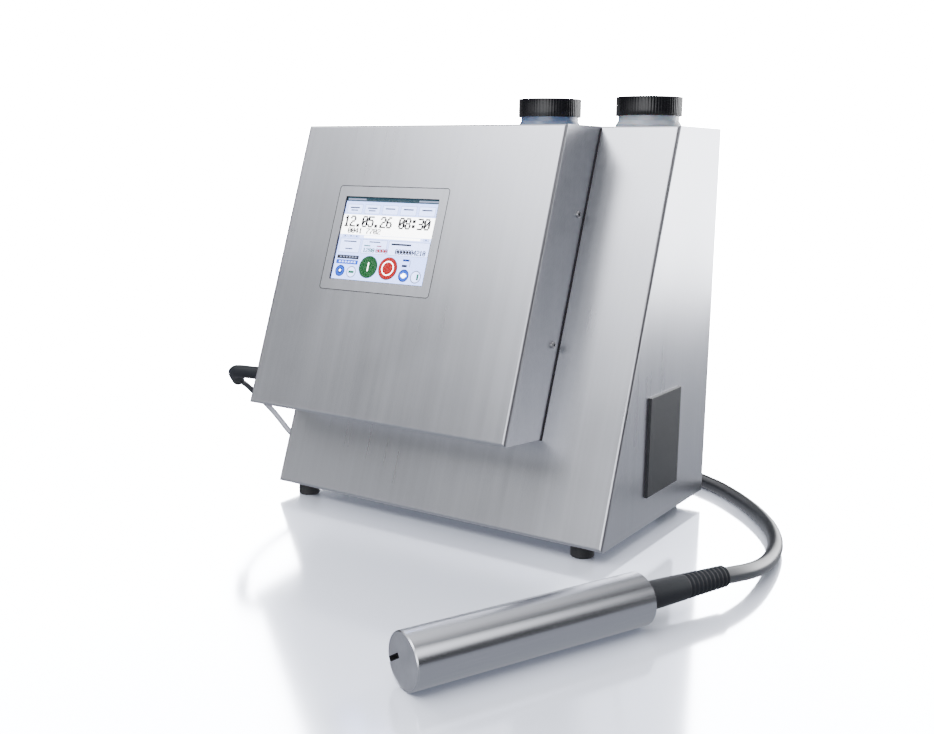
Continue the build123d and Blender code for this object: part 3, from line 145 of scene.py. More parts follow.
def leave():
    """Goes back to object mode."""
    bpy.ops.object.mode_set(mode="OBJECT")


def named(name):
    """Names the object that was just added, and its mesh."""
    piece = bpy.context.object
    piece.name = piece.data.name = name
    return piece


def added(name, data):
    """Adds an object that carries the given data to the scene."""
    made = bpy.data.objects.new(name, data)
    bpy.context.collection.objects.link(made)
    return made


def apply(piece, modifier):
    """Puts a modifier's result into the mesh."""
    only(piece)
    bpy.ops.object.modifier_apply(modifier=modifier.name)


def settle(piece, place=None):
    """Moves the piece to its place and puts that place into its mesh."""
    only(piece)
    if piece.type != "MESH":
        bpy.ops.object.convert(target="MESH")
    if place is not None:
        piece.matrix_world = place @ piece.matrix_world
    bpy.ops.object.transform_apply(location=True, rotation=True, scale=True)
    return piece


def smooth(piece, angle=35.0):
    """Smooth shading with the sharp edges kept."""
    only(piece)
    bpy.ops.object.shade_smooth_by_angle(angle=radians(angle))
    return piece


def join(pieces, name):
    """Joins pieces into the first one."""
    clear()
    for piece in pieces:
        piece.select_set(True)
    bpy.context.view_layer.objects.active = pieces[0]
    bpy.ops.object.join()
    return named(name)


def turned(name, outline, place, steps=64, closed=True):
    """A turned piece: an outline of (radius, height) in millimetres spun about its own Z."""
    clear()
    bpy.ops.mesh.primitive_plane_add(size=0.001, location=(0, 0, 0))
    piece = named(name)
    edit()
    bpy.ops.mesh.select_mode(type="VERT")
    bpy.ops.mesh.merge(type="CENTER")
    first = Vector((outline[0][0], 0, outline[0][1])) * MM
    bpy.ops.transform.translate(value=first)
    last = first
    for radius, height in outline[1:]:
        point = Vector((radius, 0, height)) * MM
        bpy.ops.mesh.extrude_vertices_move(TRANSFORM_OT_translate={"value": point - last})
        last = point
    if closed:
        bpy.ops.mesh.extrude_vertices_move(TRANSFORM_OT_translate={"value": first - last})
    everything()
    bpy.ops.mesh.spin(steps=steps, angle=2 * pi, center=(0, 0, 0), axis=(0, 0, 1))
    everything()
    bpy.ops.mesh.remove_doubles(threshold=0.000002)
    everything()
    bpy.ops.mesh.normals_make_consistent(inside=False)
    leave()
    settle(piece, place)
    return smooth(piece)


def finish_as(piece, finish):
    """Gives a piece one finish."""
    piece.data.materials.clear()
    piece.data.materials.append(finish)
    return piece


# ---------------------------------------------------------------- shader helpers
def effect(name, inputs, outputs):
    """An empty node group with named float or colour inputs and outputs."""
    tree = bpy.data.node_groups.new(name, "ShaderNodeTree")
    for label, kind, default in inputs:
        socket = tree.interface.new_socket(label, in_out="INPUT", socket_type=kind)
        socket.default_value = default
    for label, kind in outputs:
        tree.interface.new_socket(label, in_out="OUTPUT", socket_type=kind)
    return tree, tree.nodes.new("NodeGroupInput"), tree.nodes.new("NodeGroupOutput")


def node(tree, kind, links=None, **settings):
    """Adds a node, sets its properties and links or sets its inputs."""
    made = tree.nodes.new("ShaderNode" + kind)
    for key, value in settings.items():
        setattr(made, key, value)
    for key, source in (links or {}).items():
        if isinstance(source, bpy.types.NodeSocket):
            tree.links.new(source, made.inputs[key])
        else:
            made.inputs[key].default_value = source
    return made


def feed(target, label, source):
    """Links a source to one of a node's inputs."""
    target.id_data.links.new(source, target.inputs[label])


def maths(tree, operation, a, b=0.0):
    """A maths node's output."""
    return node(tree, "Math", {0: a, 1: b}, operation=operation).outputs[0]


def ramp(tree, source, low, high, out_low=0.0, out_high=1.0):
    """Maps a value from one range to another, clamped."""
    return node(tree, "MapRange", {0: source, 1: low, 2: high, 3: out_low, 4: out_high}).outputs[0]


def blend(tree, mask, low, high):
    """A colour between two colours, each given plainly or as a socket, by a mask."""
    low, high = ((*c, 1.0) if isinstance(c, tuple) else c for c in (low, high))
    return node(tree, "Mix", {0: mask, 6: low, 7: high}, data_type="RGBA").outputs[2]


def spot(tree):
    """The place on the piece, in the object's own coordinates."""
    return node(tree, "TexCoord").outputs["Object"]


def dot(tree, a, b):
    """How far two directions agree."""
    return node(tree, "VectorMath", {0: a, 1: b}, operation="DOT_PRODUCT").outputs["Value"]


def noise(tree, vector, scale, detail=2.0, roughness=0.5):
    """A noise texture's value."""
    return node(tree, "TexNoise", {"Vector": vector, "Scale": scale, "Detail": detail,
                                   "Roughness": roughness}).outputs[0]


FLOAT, VECTOR = "NodeSocketFloat", "NodeSocketVector"
EFFECTS = {}


def make_brushed_sheet():
    """Fine parallel lines that run up the front, over the top, and up the sides."""
    tree, given, out = effect("Brushed Sheet", [("Lines", FLOAT, 2600.0), ("Run", FLOAT, 14.0)],
                              [("Height", FLOAT), ("Streak", FLOAT), ("Cloud", FLOAT)])
    place = spot(tree)
    x, y, z = node(tree, "SeparateXYZ", {0: place}).outputs
    facing = node(tree, "SeparateXYZ", {0: node(tree, "NewGeometry").outputs["Normal"]}).outputs[0]
    side = maths(tree, "GREATER_THAN", maths(tree, "ABSOLUTE", facing), 0.7)
    across = node(tree, "Mix", {0: side, 2: x, 3: y}).outputs[0]
    rest = node(tree, "Mix", {0: side, 2: y, 3: 0.0}).outputs[0]
    fine = node(tree, "CombineXYZ", {
        0: maths(tree, "MULTIPLY", across, given.outputs["Lines"]),
        1: maths(tree, "MULTIPLY", rest, given.outputs["Run"]),
        2: maths(tree, "MULTIPLY", z, given.outputs["Run"])}).outputs[0]
    coarse = node(tree, "CombineXYZ", {
        0: maths(tree, "MULTIPLY", across, maths(tree, "MULTIPLY", given.outputs["Lines"], 0.07)),
        1: maths(tree, "MULTIPLY", rest, 2.0), 2: maths(tree, "MULTIPLY", z, 2.0)}).outputs[0]
    for label, source in (("Height", noise(tree, fine, 1.0, 4.0, 0.65)),
                          ("Streak", noise(tree, coarse, 1.0, 3.0, 0.6)),
                          ("Cloud", noise(tree, place, 7.0, 3.0))):
        feed(out, label, source)
    return tree


def make_drawn_bar():
    """Fine lines along a bar's own axis, with fainter rings round it."""
    tree, given, out = effect("Drawn Bar", [("Axis", VECTOR, (1.0, 0.0, 0.0)),
                                            ("Lines", FLOAT, 1500.0)],
                              [("Height", FLOAT), ("Streak", FLOAT)])
    place = spot(tree)
    along = dot(tree, place, given.outputs["Axis"])
    back = node(tree, "VectorMath", {0: given.outputs["Axis"],
                                     3: maths(tree, "MULTIPLY", along, 0.985)},
                operation="SCALE").outputs[0]
    flat = node(tree, "VectorMath", {0: place, 1: back}, operation="SUBTRACT").outputs[0]
    lines = node(tree, "VectorMath", {0: flat, 3: given.outputs["Lines"]},
                 operation="SCALE").outputs[0]
    grain = noise(tree, lines, 1.0, 3.0)
    rings = node(tree, "TexNoise", {"W": maths(tree, "MULTIPLY", along, 900.0),
                                    "Scale": 1.0, "Detail": 2.0},
                 noise_dimensions="1D")
    both = maths(tree, "ADD", grain, maths(tree, "MULTIPLY", rings.outputs[0], 0.35))
    feed(out, "Height", both)
    feed(out, "Streak", grain)
    return tree


def make_edge_wear_and_highlight():
    """A mask of the outer edges, broken up: on steel it places a painted highlight, partly rubbed
    wear; on plastic and rubber, rubbed edges.
    """
    tree, given, out = effect("Edge Wear And Highlight", [("Width", FLOAT, 0.0008), ("Breakup", FLOAT, 90.0)],
                              [("Mask", FLOAT)])
    soft = node(tree, "Bevel", {"Radius": given.outputs["Width"]}, samples=4).outputs[0]
    hard = node(tree, "NewGeometry").outputs["Normal"]
    mask = ramp(tree, dot(tree, soft, hard), 0.995, 0.86)
    broken = ramp(tree, noise(tree, spot(tree), given.outputs["Breakup"]), 0.3, 0.6, 0.45, 1.0)
    feed(out, "Mask", maths(tree, "MULTIPLY", mask, broken))
    return tree


def make_moulded_skin():
    """The fine pebble of moulded plastic or rubber and its slow changes of shade."""
    tree, given, out = effect("Moulded Skin", [("Grain", FLOAT, 1800.0), ("Shade", FLOAT, 25.0)],
                              [("Height", FLOAT), ("Mottle", FLOAT)])
    place = spot(tree)
    feed(out, "Height", noise(tree, place, given.outputs["Grain"]))
    feed(out, "Mottle", noise(tree, place, given.outputs["Shade"], 4.0))
    return tree


def make_dust():
    """A thin film of dust that lies on what faces up."""
    tree, given, out = effect("Dust", [("Amount", FLOAT, 0.2)], [("Mask", FLOAT)])
    up = node(tree, "SeparateXYZ", {0: node(tree, "NewGeometry").outputs["Normal"]}).outputs[2]
    patchy = ramp(tree, noise(tree, spot(tree), 60.0, 5.0), 0.35, 0.7)
    mask = maths(tree, "MULTIPLY", ramp(tree, up, 0.2, 0.95), patchy)
    feed(out, "Mask", maths(tree, "MULTIPLY", mask, given.outputs["Amount"]))
    return tree


def use(tree, name, **values):
    """Places an effect in a material with its own values."""
    placed = node(tree, "Group", node_tree=EFFECTS[name])
    for label, value in values.items():
        placed.inputs[label].default_value = value
    return placed.outputs


def finish(name, colour, metallic=0.0, roughness=0.5, **sockets):
    """A material with its plain values set on the shader itself."""
    material = bpy.data.materials.new(name)
    material.use_nodes = True
    shader = material.node_tree.nodes["Principled BSDF"]
    shader.inputs["Base Color"].default_value = (*colour, 1.0)
    shader.inputs["Metallic"].default_value = metallic
    shader.inputs["Roughness"].default_value = roughness
    for label, value in sockets.items():
        shader.inputs[label.replace("_", " ")].default_value = value
    material.diffuse_color = (*colour, 1.0)
    return material, material.node_tree, shader


def tint(tree, shader, mask, low, high):
    """Gives the shader a base colour between two colours by a mask, and returns it."""
    colour = blend(tree, mask, low, high)
    feed(shader, "Base Color", colour)
    return colour


def emboss(tree, shader, height, distance):
    """Bump from a height."""
    bump = node(tree, "Bump", {"Height": height, "Distance": distance, "Strength": 1.0})
    feed(shader, "Normal", bump.outputs[0])


def shaded(colour, factor):
    """A colour made darker or lighter."""
    return tuple(min(1.0, c * factor) for c in colour)


def mottled(tree, shader, mask, colour, less, more):
    """A base colour that runs from darker to lighter by a mask."""
    return tint(tree, shader, ramp(tree, mask, 0.3, 0.7), shaded(colour, less),
                shaded(colour, more))


def vary_roughness(tree, shader, mask, roughness, by):
    """A roughness that strays a little to either side by a mask."""
    feed(shader, "Roughness", ramp(tree, mask, 0.3, 0.7, roughness - by, roughness + by))


def brighten_edges(tree, shader, base, colour, amount):
    """Paints a highlight on the edges: the base colour turns lighter there, partly rubbed wear and
    partly painted highlight.
    """
    edge = use(tree, "Edge Wear And Highlight", Width=0.0010)["Mask"]
    tint(tree, shader, maths(tree, "MULTIPLY", edge, amount), base, shaded(colour, 1.35))


def brushed_steel(name, colour, roughness, lines=2600.0, streak=0.022):
    """Ground stainless sheet with a painted highlight on its edges, partly rubbed wear."""
    material, tree, shader = finish(name, colour, 1.0, roughness)
    grain = use(tree, "Brushed Sheet", Lines=lines)
    base = mottled(tree, shader, grain["Streak"], colour, 1.0 - streak, 1.0 + streak)
    brighten_edges(tree, shader, base, colour, 0.5)
    rough = maths(tree, "ADD", ramp(tree, grain["Streak"], 0.3, 0.7, roughness - 0.012,
                                    roughness + 0.012),
                  ramp(tree, grain["Cloud"], 0.35, 0.65, -0.02, 0.02))
    feed(shader, "Roughness", rough)
    emboss(tree, shader, grain["Height"], 0.0000025)
    return material


def drawn_steel(name, colour, roughness, axis):
    """Polished tube with fine lines along it."""
    material, tree, shader = finish(name, colour, 1.0, roughness)
    grain = use(tree, "Drawn Bar", Axis=axis)
    base = mottled(tree, shader, grain["Streak"], colour, 0.97, 1.03)
    # painted highlight on the tube's edges, partly rubbed wear
    brighten_edges(tree, shader, base, colour, 0.6)
    vary_roughness(tree, shader, grain["Streak"], roughness, 0.02)
    emboss(tree, shader, grain["Height"], 0.000006)
    return material


def moulded(name, colour, roughness, grain=1800.0, depth=0.00002, wear=0.35, dust=0.0, **sockets):
    """Moulded plastic, rubber or foam."""
    material, tree, shader = finish(name, colour, 0.0, roughness, **sockets)
    skin = use(tree, "Moulded Skin", Grain=grain)
    base = mottled(tree, shader, skin["Mottle"], colour, 0.88, 1.12)
    edge = use(tree, "Edge Wear And Highlight", Width=0.0006)["Mask"]
    pale = tuple(min(1.0, c * 1.5 + 0.015) for c in colour)
    last = tint(tree, shader, maths(tree, "MULTIPLY", edge, wear), base, pale)
    if dust:
        tint(tree, shader, use(tree, "Dust", Amount=dust)["Mask"], last, (0.55, 0.55, 0.56))
    vary_roughness(tree, shader, skin["Mottle"], roughness, 0.05)
    emboss(tree, shader, skin["Height"], depth)
    return material


def jacket_paler_below(jacket):
    """The cord jacket, turning a pale grey-violet below about 80 mm up."""
    material = jacket.copy()
    material.name = "link jacket"
    tree = material.node_tree
    base = tree.nodes["Principled BSDF"].inputs["Base Color"]
    height = node(tree, "SeparateXYZ", {0: spot(tree)}).outputs[2]
    pale = blend(tree, ramp(tree, height, 0.084, 0.078), base.links[0].from_socket,
                 (0.42, 0.43, 0.50))
    tree.links.new(pale, base)
    return material


def metal(name, colour, roughness, grain=900.0, depth=0.00001):
    """Machined or plated metal with a faint mottle."""
    material, tree, shader = finish(name, colour, 1.0, roughness)
    skin = use(tree, "Moulded Skin", Grain=grain, Shade=60.0)
    mottled(tree, shader, skin["Mottle"], colour, 0.9, 1.08)
    vary_roughness(tree, shader, skin["Mottle"], roughness, 0.06)
    emboss(tree, shader, skin["Height"], depth)
    return material


def circuit(name):
    """A solder-masked board with faint tracks and pads."""
    material, tree, shader = finish(name, (0.02, 0.13, 0.06), 0.0, 0.35, Coat_Weight=0.4)
    place = spot(tree)
    tracks = node(tree, "TexVoronoi", {"Vector": place, "Scale": 260.0},
                  distance="MANHATTAN", feature="F2").outputs[0]
    pads = node(tree, "TexVoronoi", {"Vector": place, "Scale": 420.0}).outputs[0]
    base = tint(tree, shader, ramp(tree, tracks, 0.55, 0.62), (0.015, 0.10, 0.045),
                (0.03, 0.2, 0.09))
    tint(tree, shader, ramp(tree, pads, 0.2, 0.14), base, (0.55, 0.5, 0.35))
    emboss(tree, shader, tracks, 0.00003)
    return material


def lit_screen(name):
    """The screen's picture, lit from behind, coloured by the pieces' own attribute."""
    material, tree, shader = finish(name, (0.8, 0.85, 0.9), 0.0, 0.4)
    colour = node(tree, "VertexColor", layer_name="tint").outputs[0]
    cells = node(tree, "TexVoronoi", {"Vector": spot(tree), "Scale": 2400.0}).outputs[0]
    dim = tint(tree, shader, ramp(tree, cells, 0.2, 0.9, 0.0, 0.12), colour, (0.0, 0.0, 0.0))
    feed(shader, "Emission Color", dim)
    shader.inputs["Emission Strength"].default_value = 8.0
    return material


def clear_glass(name):
    """The touch glass, faintly smeared."""
    material, tree, shader = finish(name, (0.96, 0.98, 0.98), 0.0, 0.03, Transmission_Weight=1.0,
                                    IOR=1.15)
    skin = use(tree, "Moulded Skin", Grain=300.0, Shade=18.0)
    feed(shader, "Roughness", ramp(tree, skin["Mottle"], 0.35, 0.7, 0.02, 0.07))
    return material


def tank_plastic(name, colour, density):
    """Cloudy blow-moulded plastic that lets some light through."""
    material, tree, shader = finish(name, colour, 0.0, 0.28, Subsurface_Weight=0.35,
                                    Subsurface_Scale=0.01, Transmission_Weight=density,
                                    Coat_Weight=0.3)
    skin = use(tree, "Moulded Skin", Grain=400.0, Shade=30.0)
    mottled(tree, shader, skin["Mottle"], colour, 0.9, 1.05)
    emboss(tree, shader, skin["Height"], 0.00004)
    return material


FINISHES = {}


def make_finishes(look):
    """Every effect and finish, once."""
    for tree in (make_brushed_sheet(), make_drawn_bar(), make_edge_wear_and_highlight(), make_moulded_skin(),
                 make_dust()):
        EFFECTS[tree.name] = tree
    steel = tuple(look.steel)
    FINISHES.update(
        sheet=brushed_steel("ground stainless sheet", steel, look.steel_roughness),
        frame=brushed_steel("inner steel sheet", shaded(steel, 0.9), 0.36, 1400.0, 0.08),
        # The bezel is a slightly darker copy of the steel and the head's tube and face are lighter
        # ones: painted shade and painted light, laid over each one's own finish.
        bezel=brushed_steel("bezel steel", shaded(steel, 0.97), look.steel_roughness + 0.04,
                            2800.0, 0.03),
        head=drawn_steel("drawn steel tube", shaded(steel, 1.02), 0.24, HEAD_AXIS),
        face=metal("blasted steel face", shaded(steel, 1.05), 0.42, 1600.0),
        screw=metal("screw steel", (0.42, 0.42, 0.43), 0.3),
        alloy=metal("machined alloy", (0.58, 0.59, 0.6), 0.35),
        nickel=metal("nickel plate", (0.62, 0.6, 0.55), 0.22),
        rubber=moulded("black rubber", (0.018, 0.018, 0.02), 0.6, wear=0.5, dust=0.10),
        boot=moulded("boot rubber", (0.016, 0.018, 0.023), 0.5, wear=0.15,
                     Specular_IOR_Level=0.25),
        cap=moulded("cap plastic", tuple(look.cap), 0.16, 700.0, 0.000006, 0.2,
                    Specular_IOR_Level=0.4),
        black=moulded("black plastic", (0.02, 0.02, 0.022), 0.42, dust=0.06),
        vent=moulded("charcoal plastic", tuple(look.vent), 0.45, 1500.0, 0.00003,
                     Specular_IOR_Level=0.35),
        # This dark finish colours only the painted shadow lines and the painted shade in the
        # head's slot.
        gasket=moulded("dark gasket", (0.03, 0.03, 0.034), 0.6, wear=0.0,
                       Specular_IOR_Level=0.2),
        foam=moulded("filter foam", (0.05, 0.05, 0.052), 0.9, 700.0, 0.0006),
        liner=moulded("liner foam", (0.8, 0.79, 0.75), 0.7),
        white=moulded("white plastic", (0.78, 0.78, 0.75), 0.4),
        ceramic=moulded("ceramic", (0.82, 0.8, 0.74), 0.25),
        ink=tank_plastic("ink tank plastic", tuple(look.ink), 0.15),
        clear=tank_plastic("clear tank plastic", (0.60, 0.65, 0.74), 0.45),
        hose=tank_plastic("hose plastic", (0.75, 0.78, 0.8), 0.4),
        board=circuit("circuit board"),
        glass=clear_glass("touch glass"),
        picture=lit_screen("screen picture"),
        jacket=moulded("cord jacket", tuple(look.jacket), 0.34, 500.0, 0.00002, 0.0,
                       Coat_Weight=0.6, Coat_Roughness=0.22),
        strap=moulded("strap weave", (0.02, 0.02, 0.02), 0.85, 1200.0, 0.0003))
    FINISHES["link"] = jacket_paler_below(FINISHES["jacket"])


# ---------------------------------------------------------------- settings
class DATECODER_PG_look(bpy.types.PropertyGroup):
    """Colours and finishes."""
    steel: bpy.props.FloatVectorProperty(
        name="Steel", description="Colour of the brushed stainless steel", subtype="COLOR",
        default=(0.59, 0.60, 0.645), min=0.0, max=1.0)
    steel_roughness: bpy.props.FloatProperty(
        name="Steel Roughness", description="How soft reflections in the sheet are",
        default=0.30, min=0.05, max=0.8, subtype="FACTOR")
    cap: bpy.props.FloatVectorProperty(
        name="Caps", description="Colour of the tank caps", subtype="COLOR",
        default=(0.008, 0.008, 0.01), min=0.0, max=1.0)
    ink: bpy.props.FloatVectorProperty(
        name="Ink Tank", description="Colour of the ink tank's neck", subtype="COLOR",
        default=(0.15, 0.21, 0.35), min=0.0, max=1.0)
    vent: bpy.props.FloatVectorProperty(
        name="Vent Cover", description="Colour of the air inlet's cover", subtype="COLOR",
        default=(0.035, 0.037, 0.042), min=0.0, max=1.0)
    jacket: bpy.props.FloatVectorProperty(
        name="Cord Jacket", description="Colour of the umbilical and the link cable",
        subtype="COLOR", default=(0.045, 0.047, 0.055), min=0.0, max=1.0)


class DATECODER_PG_sizes(bpy.types.PropertyGroup):
    """Sizes of the pieces that are modelled here."""
    cord: bpy.props.FloatProperty(
        name="Umbilical Diameter", description="Outside diameter of the umbilical",
        default=CORD_D * MM, min=0.005, max=0.03, subtype="DISTANCE", unit="LENGTH")
    link: bpy.props.FloatProperty(
        name="Link Diameter", description="Outside diameter of the link cable",
        default=LINK_D * MM, min=0.002, max=0.01, subtype="DISTANCE", unit="LENGTH")
    cap_ribs: bpy.props.IntProperty(
        name="Cap Ribs", description="Number of grip ribs round a cap", default=72, min=12,
        max=160)


class DATECODER_PG_studio(bpy.types.PropertyGroup):
    """Light and camera."""
    lens: bpy.props.FloatProperty(
        name="Lens", description="Focal length on a 36 mm wide sensor", default=41.87,
        min=10.0, max=200.0, subtype="DISTANCE_CAMERA")
    floor: bpy.props.FloatVectorProperty(
        name="Floor", description="Colour of the glossy floor", subtype="COLOR",
        default=(0.58, 0.61, 0.70), min=0.0, max=1.0)
    backdrop: bpy.props.FloatProperty(
        name="Backdrop", description="Brightness of the darkest surroundings", default=0.03,
        min=0.0, max=5.0)
    wash: bpy.props.FloatProperty(
        name="Floor Wash", description="Power of the lamp that only lights the floor",
        default=400.0, min=0.0, max=5000.0, unit="POWER")


# ---------------------------------------------------------------- cords
def coil_points():
    """The coil's turns, clockwise from above, stepping down a layer near the cabinet."""
    per_turn = 24
    points = []
    for i in range(int(COIL_TURNS * per_turn) + 1):
        turned_by = i * 360.0 / per_turn
        layer = 0.0
        for step in (180.0, 540.0):
            layer += min(1.0, max(0.0, (turned_by - step - 25.0) / 55.0))
        z = CORD_D * (2.5 - layer)
        angle = radians(180.0 - turned_by)
        points.append((COIL_X + COIL_R * cos(angle), COIL_Y + COIL_R * sin(angle), z))
    return points


def cord_curve(name, points, diameter):
    """A cord: one open smooth spline with the route's points as its control points."""
    curve = bpy.data.curves.new(name, "CURVE")
    curve.dimensions = "3D"
    spline = curve.splines.new("NURBS")
    spline.points.add(len(points) - 1)
    for control, point in zip(spline.points, points):
        control.co = (*at(*point), 1.0)
        control.radius = diameter / 2
    spline.order_u = 3
    spline.use_endpoint_u = True
    spline.resolution_u = 8
    curve.bevel_depth = 1.0     # times each point's own radius
    curve.bevel_resolution = 8
    curve.use_fill_caps = True
    return added(name, curve)


class DATECODER_OT_umbilical(bpy.types.Operator):
    """Build the umbilical, with its spare length in a tied coil behind the cabinet"""
    bl_idname = "datecoder.umbilical"
    bl_label = "Umbilical"

    def execute(self, context):
        sizes = context.scene.datecoder_sizes
        route = LEAD_ROUTE + coil_points() + UMBILICAL_ROUTE[1:]
        cord = cord_curve("umbilical_cord", route, sizes.cord)
        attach(cord, "cabinet")
        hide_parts("umbilical", "umbilical_lead", "umbilical_coil")
        finish_as(cord, FINISHES["jacket"])
        return {"FINISHED"}


class DATECODER_OT_link_cable(bpy.types.Operator):
    """Build the thin cable from the housing's side back into the cabinet"""
    bl_idname = "datecoder.link_cable"
    bl_label = "Link Cable"

    def execute(self, context):
        sizes = context.scene.datecoder_sizes
        cord = cord_curve("link_cord", LINK_ROUTE, sizes.link)
        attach(cord, "cabinet")
        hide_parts("link_cable")
        finish_as(cord, FINISHES["link"])
        return {"FINISHED"}


# ---------------------------------------------------------------- screen
LAYER = 0.03            # between one layer of the picture and the next
PICTURE_DEPTH = 3.2     # behind the housing's face
SKY, WHITE, BLACK = (0.24, 0.31, 0.62), (1.0, 1.0, 1.0), (0.0005, 0.0005, 0.0008)
PALE, TEAL, GREY = (0.34, 0.41, 0.70), (0.004, 0.011, 0.016), (0.07, 0.08, 0.12)
GREEN, RED, BLUE = (0.0005, 0.020, 0.004), (0.10, 0.0, 0.0003), (0.0005, 0.007, 0.06)
MINT, AZURE, INKY = (0.001, 0.040, 0.018), (0.001, 0.022, 0.19), (0.001, 0.0015, 0.004)
# Each numeral: seven rows of five dots, the leftmost dot worth 16.
DIGITS = {
    "0": (14, 17, 19, 21, 25, 17, 14), "1": (4, 12, 4, 4, 4, 4, 14),
    "2": (14, 17, 1, 6, 8, 16, 31), "3": (30, 1, 1, 14, 1, 1, 30), "4": (2, 6, 10, 18, 31, 2, 2),
    "5": (31, 16, 30, 1, 1, 17, 14), "6": (6, 8, 16, 30, 17, 17, 14), "7": (31, 1, 2, 4, 8, 8, 8),
    "8": (14, 17, 17, 14, 17, 17, 14), "9": (14, 17, 17, 15, 1, 2, 12),
    ".": (0, 0, 0, 0, 0, 12, 12), ":": (0, 12, 12, 0, 12, 12, 0), "/": (1, 1, 2, 4, 8, 16, 16),
    "-": (0, 0, 0, 31, 0, 0, 0)}


def coloured(piece, colour):
    """Stores a colour on every corner of a tile."""
    layer = piece.data.color_attributes.new(name="tint", type="FLOAT_COLOR", domain="CORNER")
    for corner in layer.data:
        corner.color = (*colour, 1.0)
    return piece


def tile(x0, y0, x1, y1, colour, level, corner=0.0):
    """A flat tile on the screen, in parts of its width and height from the top left."""
    clear()
    bpy.ops.mesh.primitive_plane_add(size=1.0)
    piece = named("tile")
    wide, high = (x1 - x0) * VIEW_W * MM, (y1 - y0) * VIEW_H * MM
    piece.scale = (wide, high, 1.0)
    piece.location = (((x0 + x1) / 2 - 0.5) * VIEW_W * MM, (0.5 - (y0 + y1) / 2) * VIEW_H * MM,
                      level * LAYER * MM)
    settle(piece)
    if corner:
        edit()
        bpy.ops.mesh.bevel(offset=corner * MM, segments=4, affect="VERTICES")
        leave()
    return coloured(piece, colour)


def disc(x, y, radius, colour, level):
    """A flat round button, its radius in parts of the screen's width."""
    clear()
    place = ((x - 0.5) * VIEW_W * MM, (0.5 - y) * VIEW_H * MM, level * LAYER * MM)
    bpy.ops.mesh.primitive_circle_add(vertices=40, radius=radius * VIEW_W * MM,
                                      fill_type="NGON", location=place)
    piece = named("disc")
    settle(piece)
    return coloured(piece, colour)


def figure(mark, x, y, height, colour, level, bold=1.0):
    """One numeral made of square dots, by its top left corner."""
    clear()
    rows = DIGITS[mark]
    cell = height * VIEW_H * MM / 7.0
    bpy.ops.mesh.primitive_grid_add(x_subdivisions=5, y_subdivisions=7, size=1.0)
    piece = named("figure")
    piece.scale = (5 * cell * bold, 7 * cell, 1.0)
    piece.location = ((x - 0.5) * VIEW_W * MM + 2.5 * cell * bold,
                      (0.5 - y) * VIEW_H * MM - 3.5 * cell, level * LAYER * MM)
    settle(piece)
    left = min(v.co.x for v in piece.data.vertices)
    top = max(v.co.y for v in piece.data.vertices)
    edit()

    def unlit(face):
        column = int((face.center.x - left) / (cell * bold))
        return not rows[int((top - face.center.y) / cell)] >> (4 - column) & 1
    pick(piece, unlit)
    bpy.ops.mesh.delete(type="FACE")
    leave()
    return coloured(piece, colour)


def number(text, x, y, height, colour, level, bold=1.0):
    """A row of numerals, each drawn again a little apart to thicken its strokes."""
    step = height * VIEW_H / 7.0 * 6.0 * bold / VIEW_W
    return [figure(mark, x + i * step + shift * step, y, height, colour, level + shift, bold)
            for i, mark in enumerate(text) if mark != " " for shift in (0.0, 0.08, 0.16)]


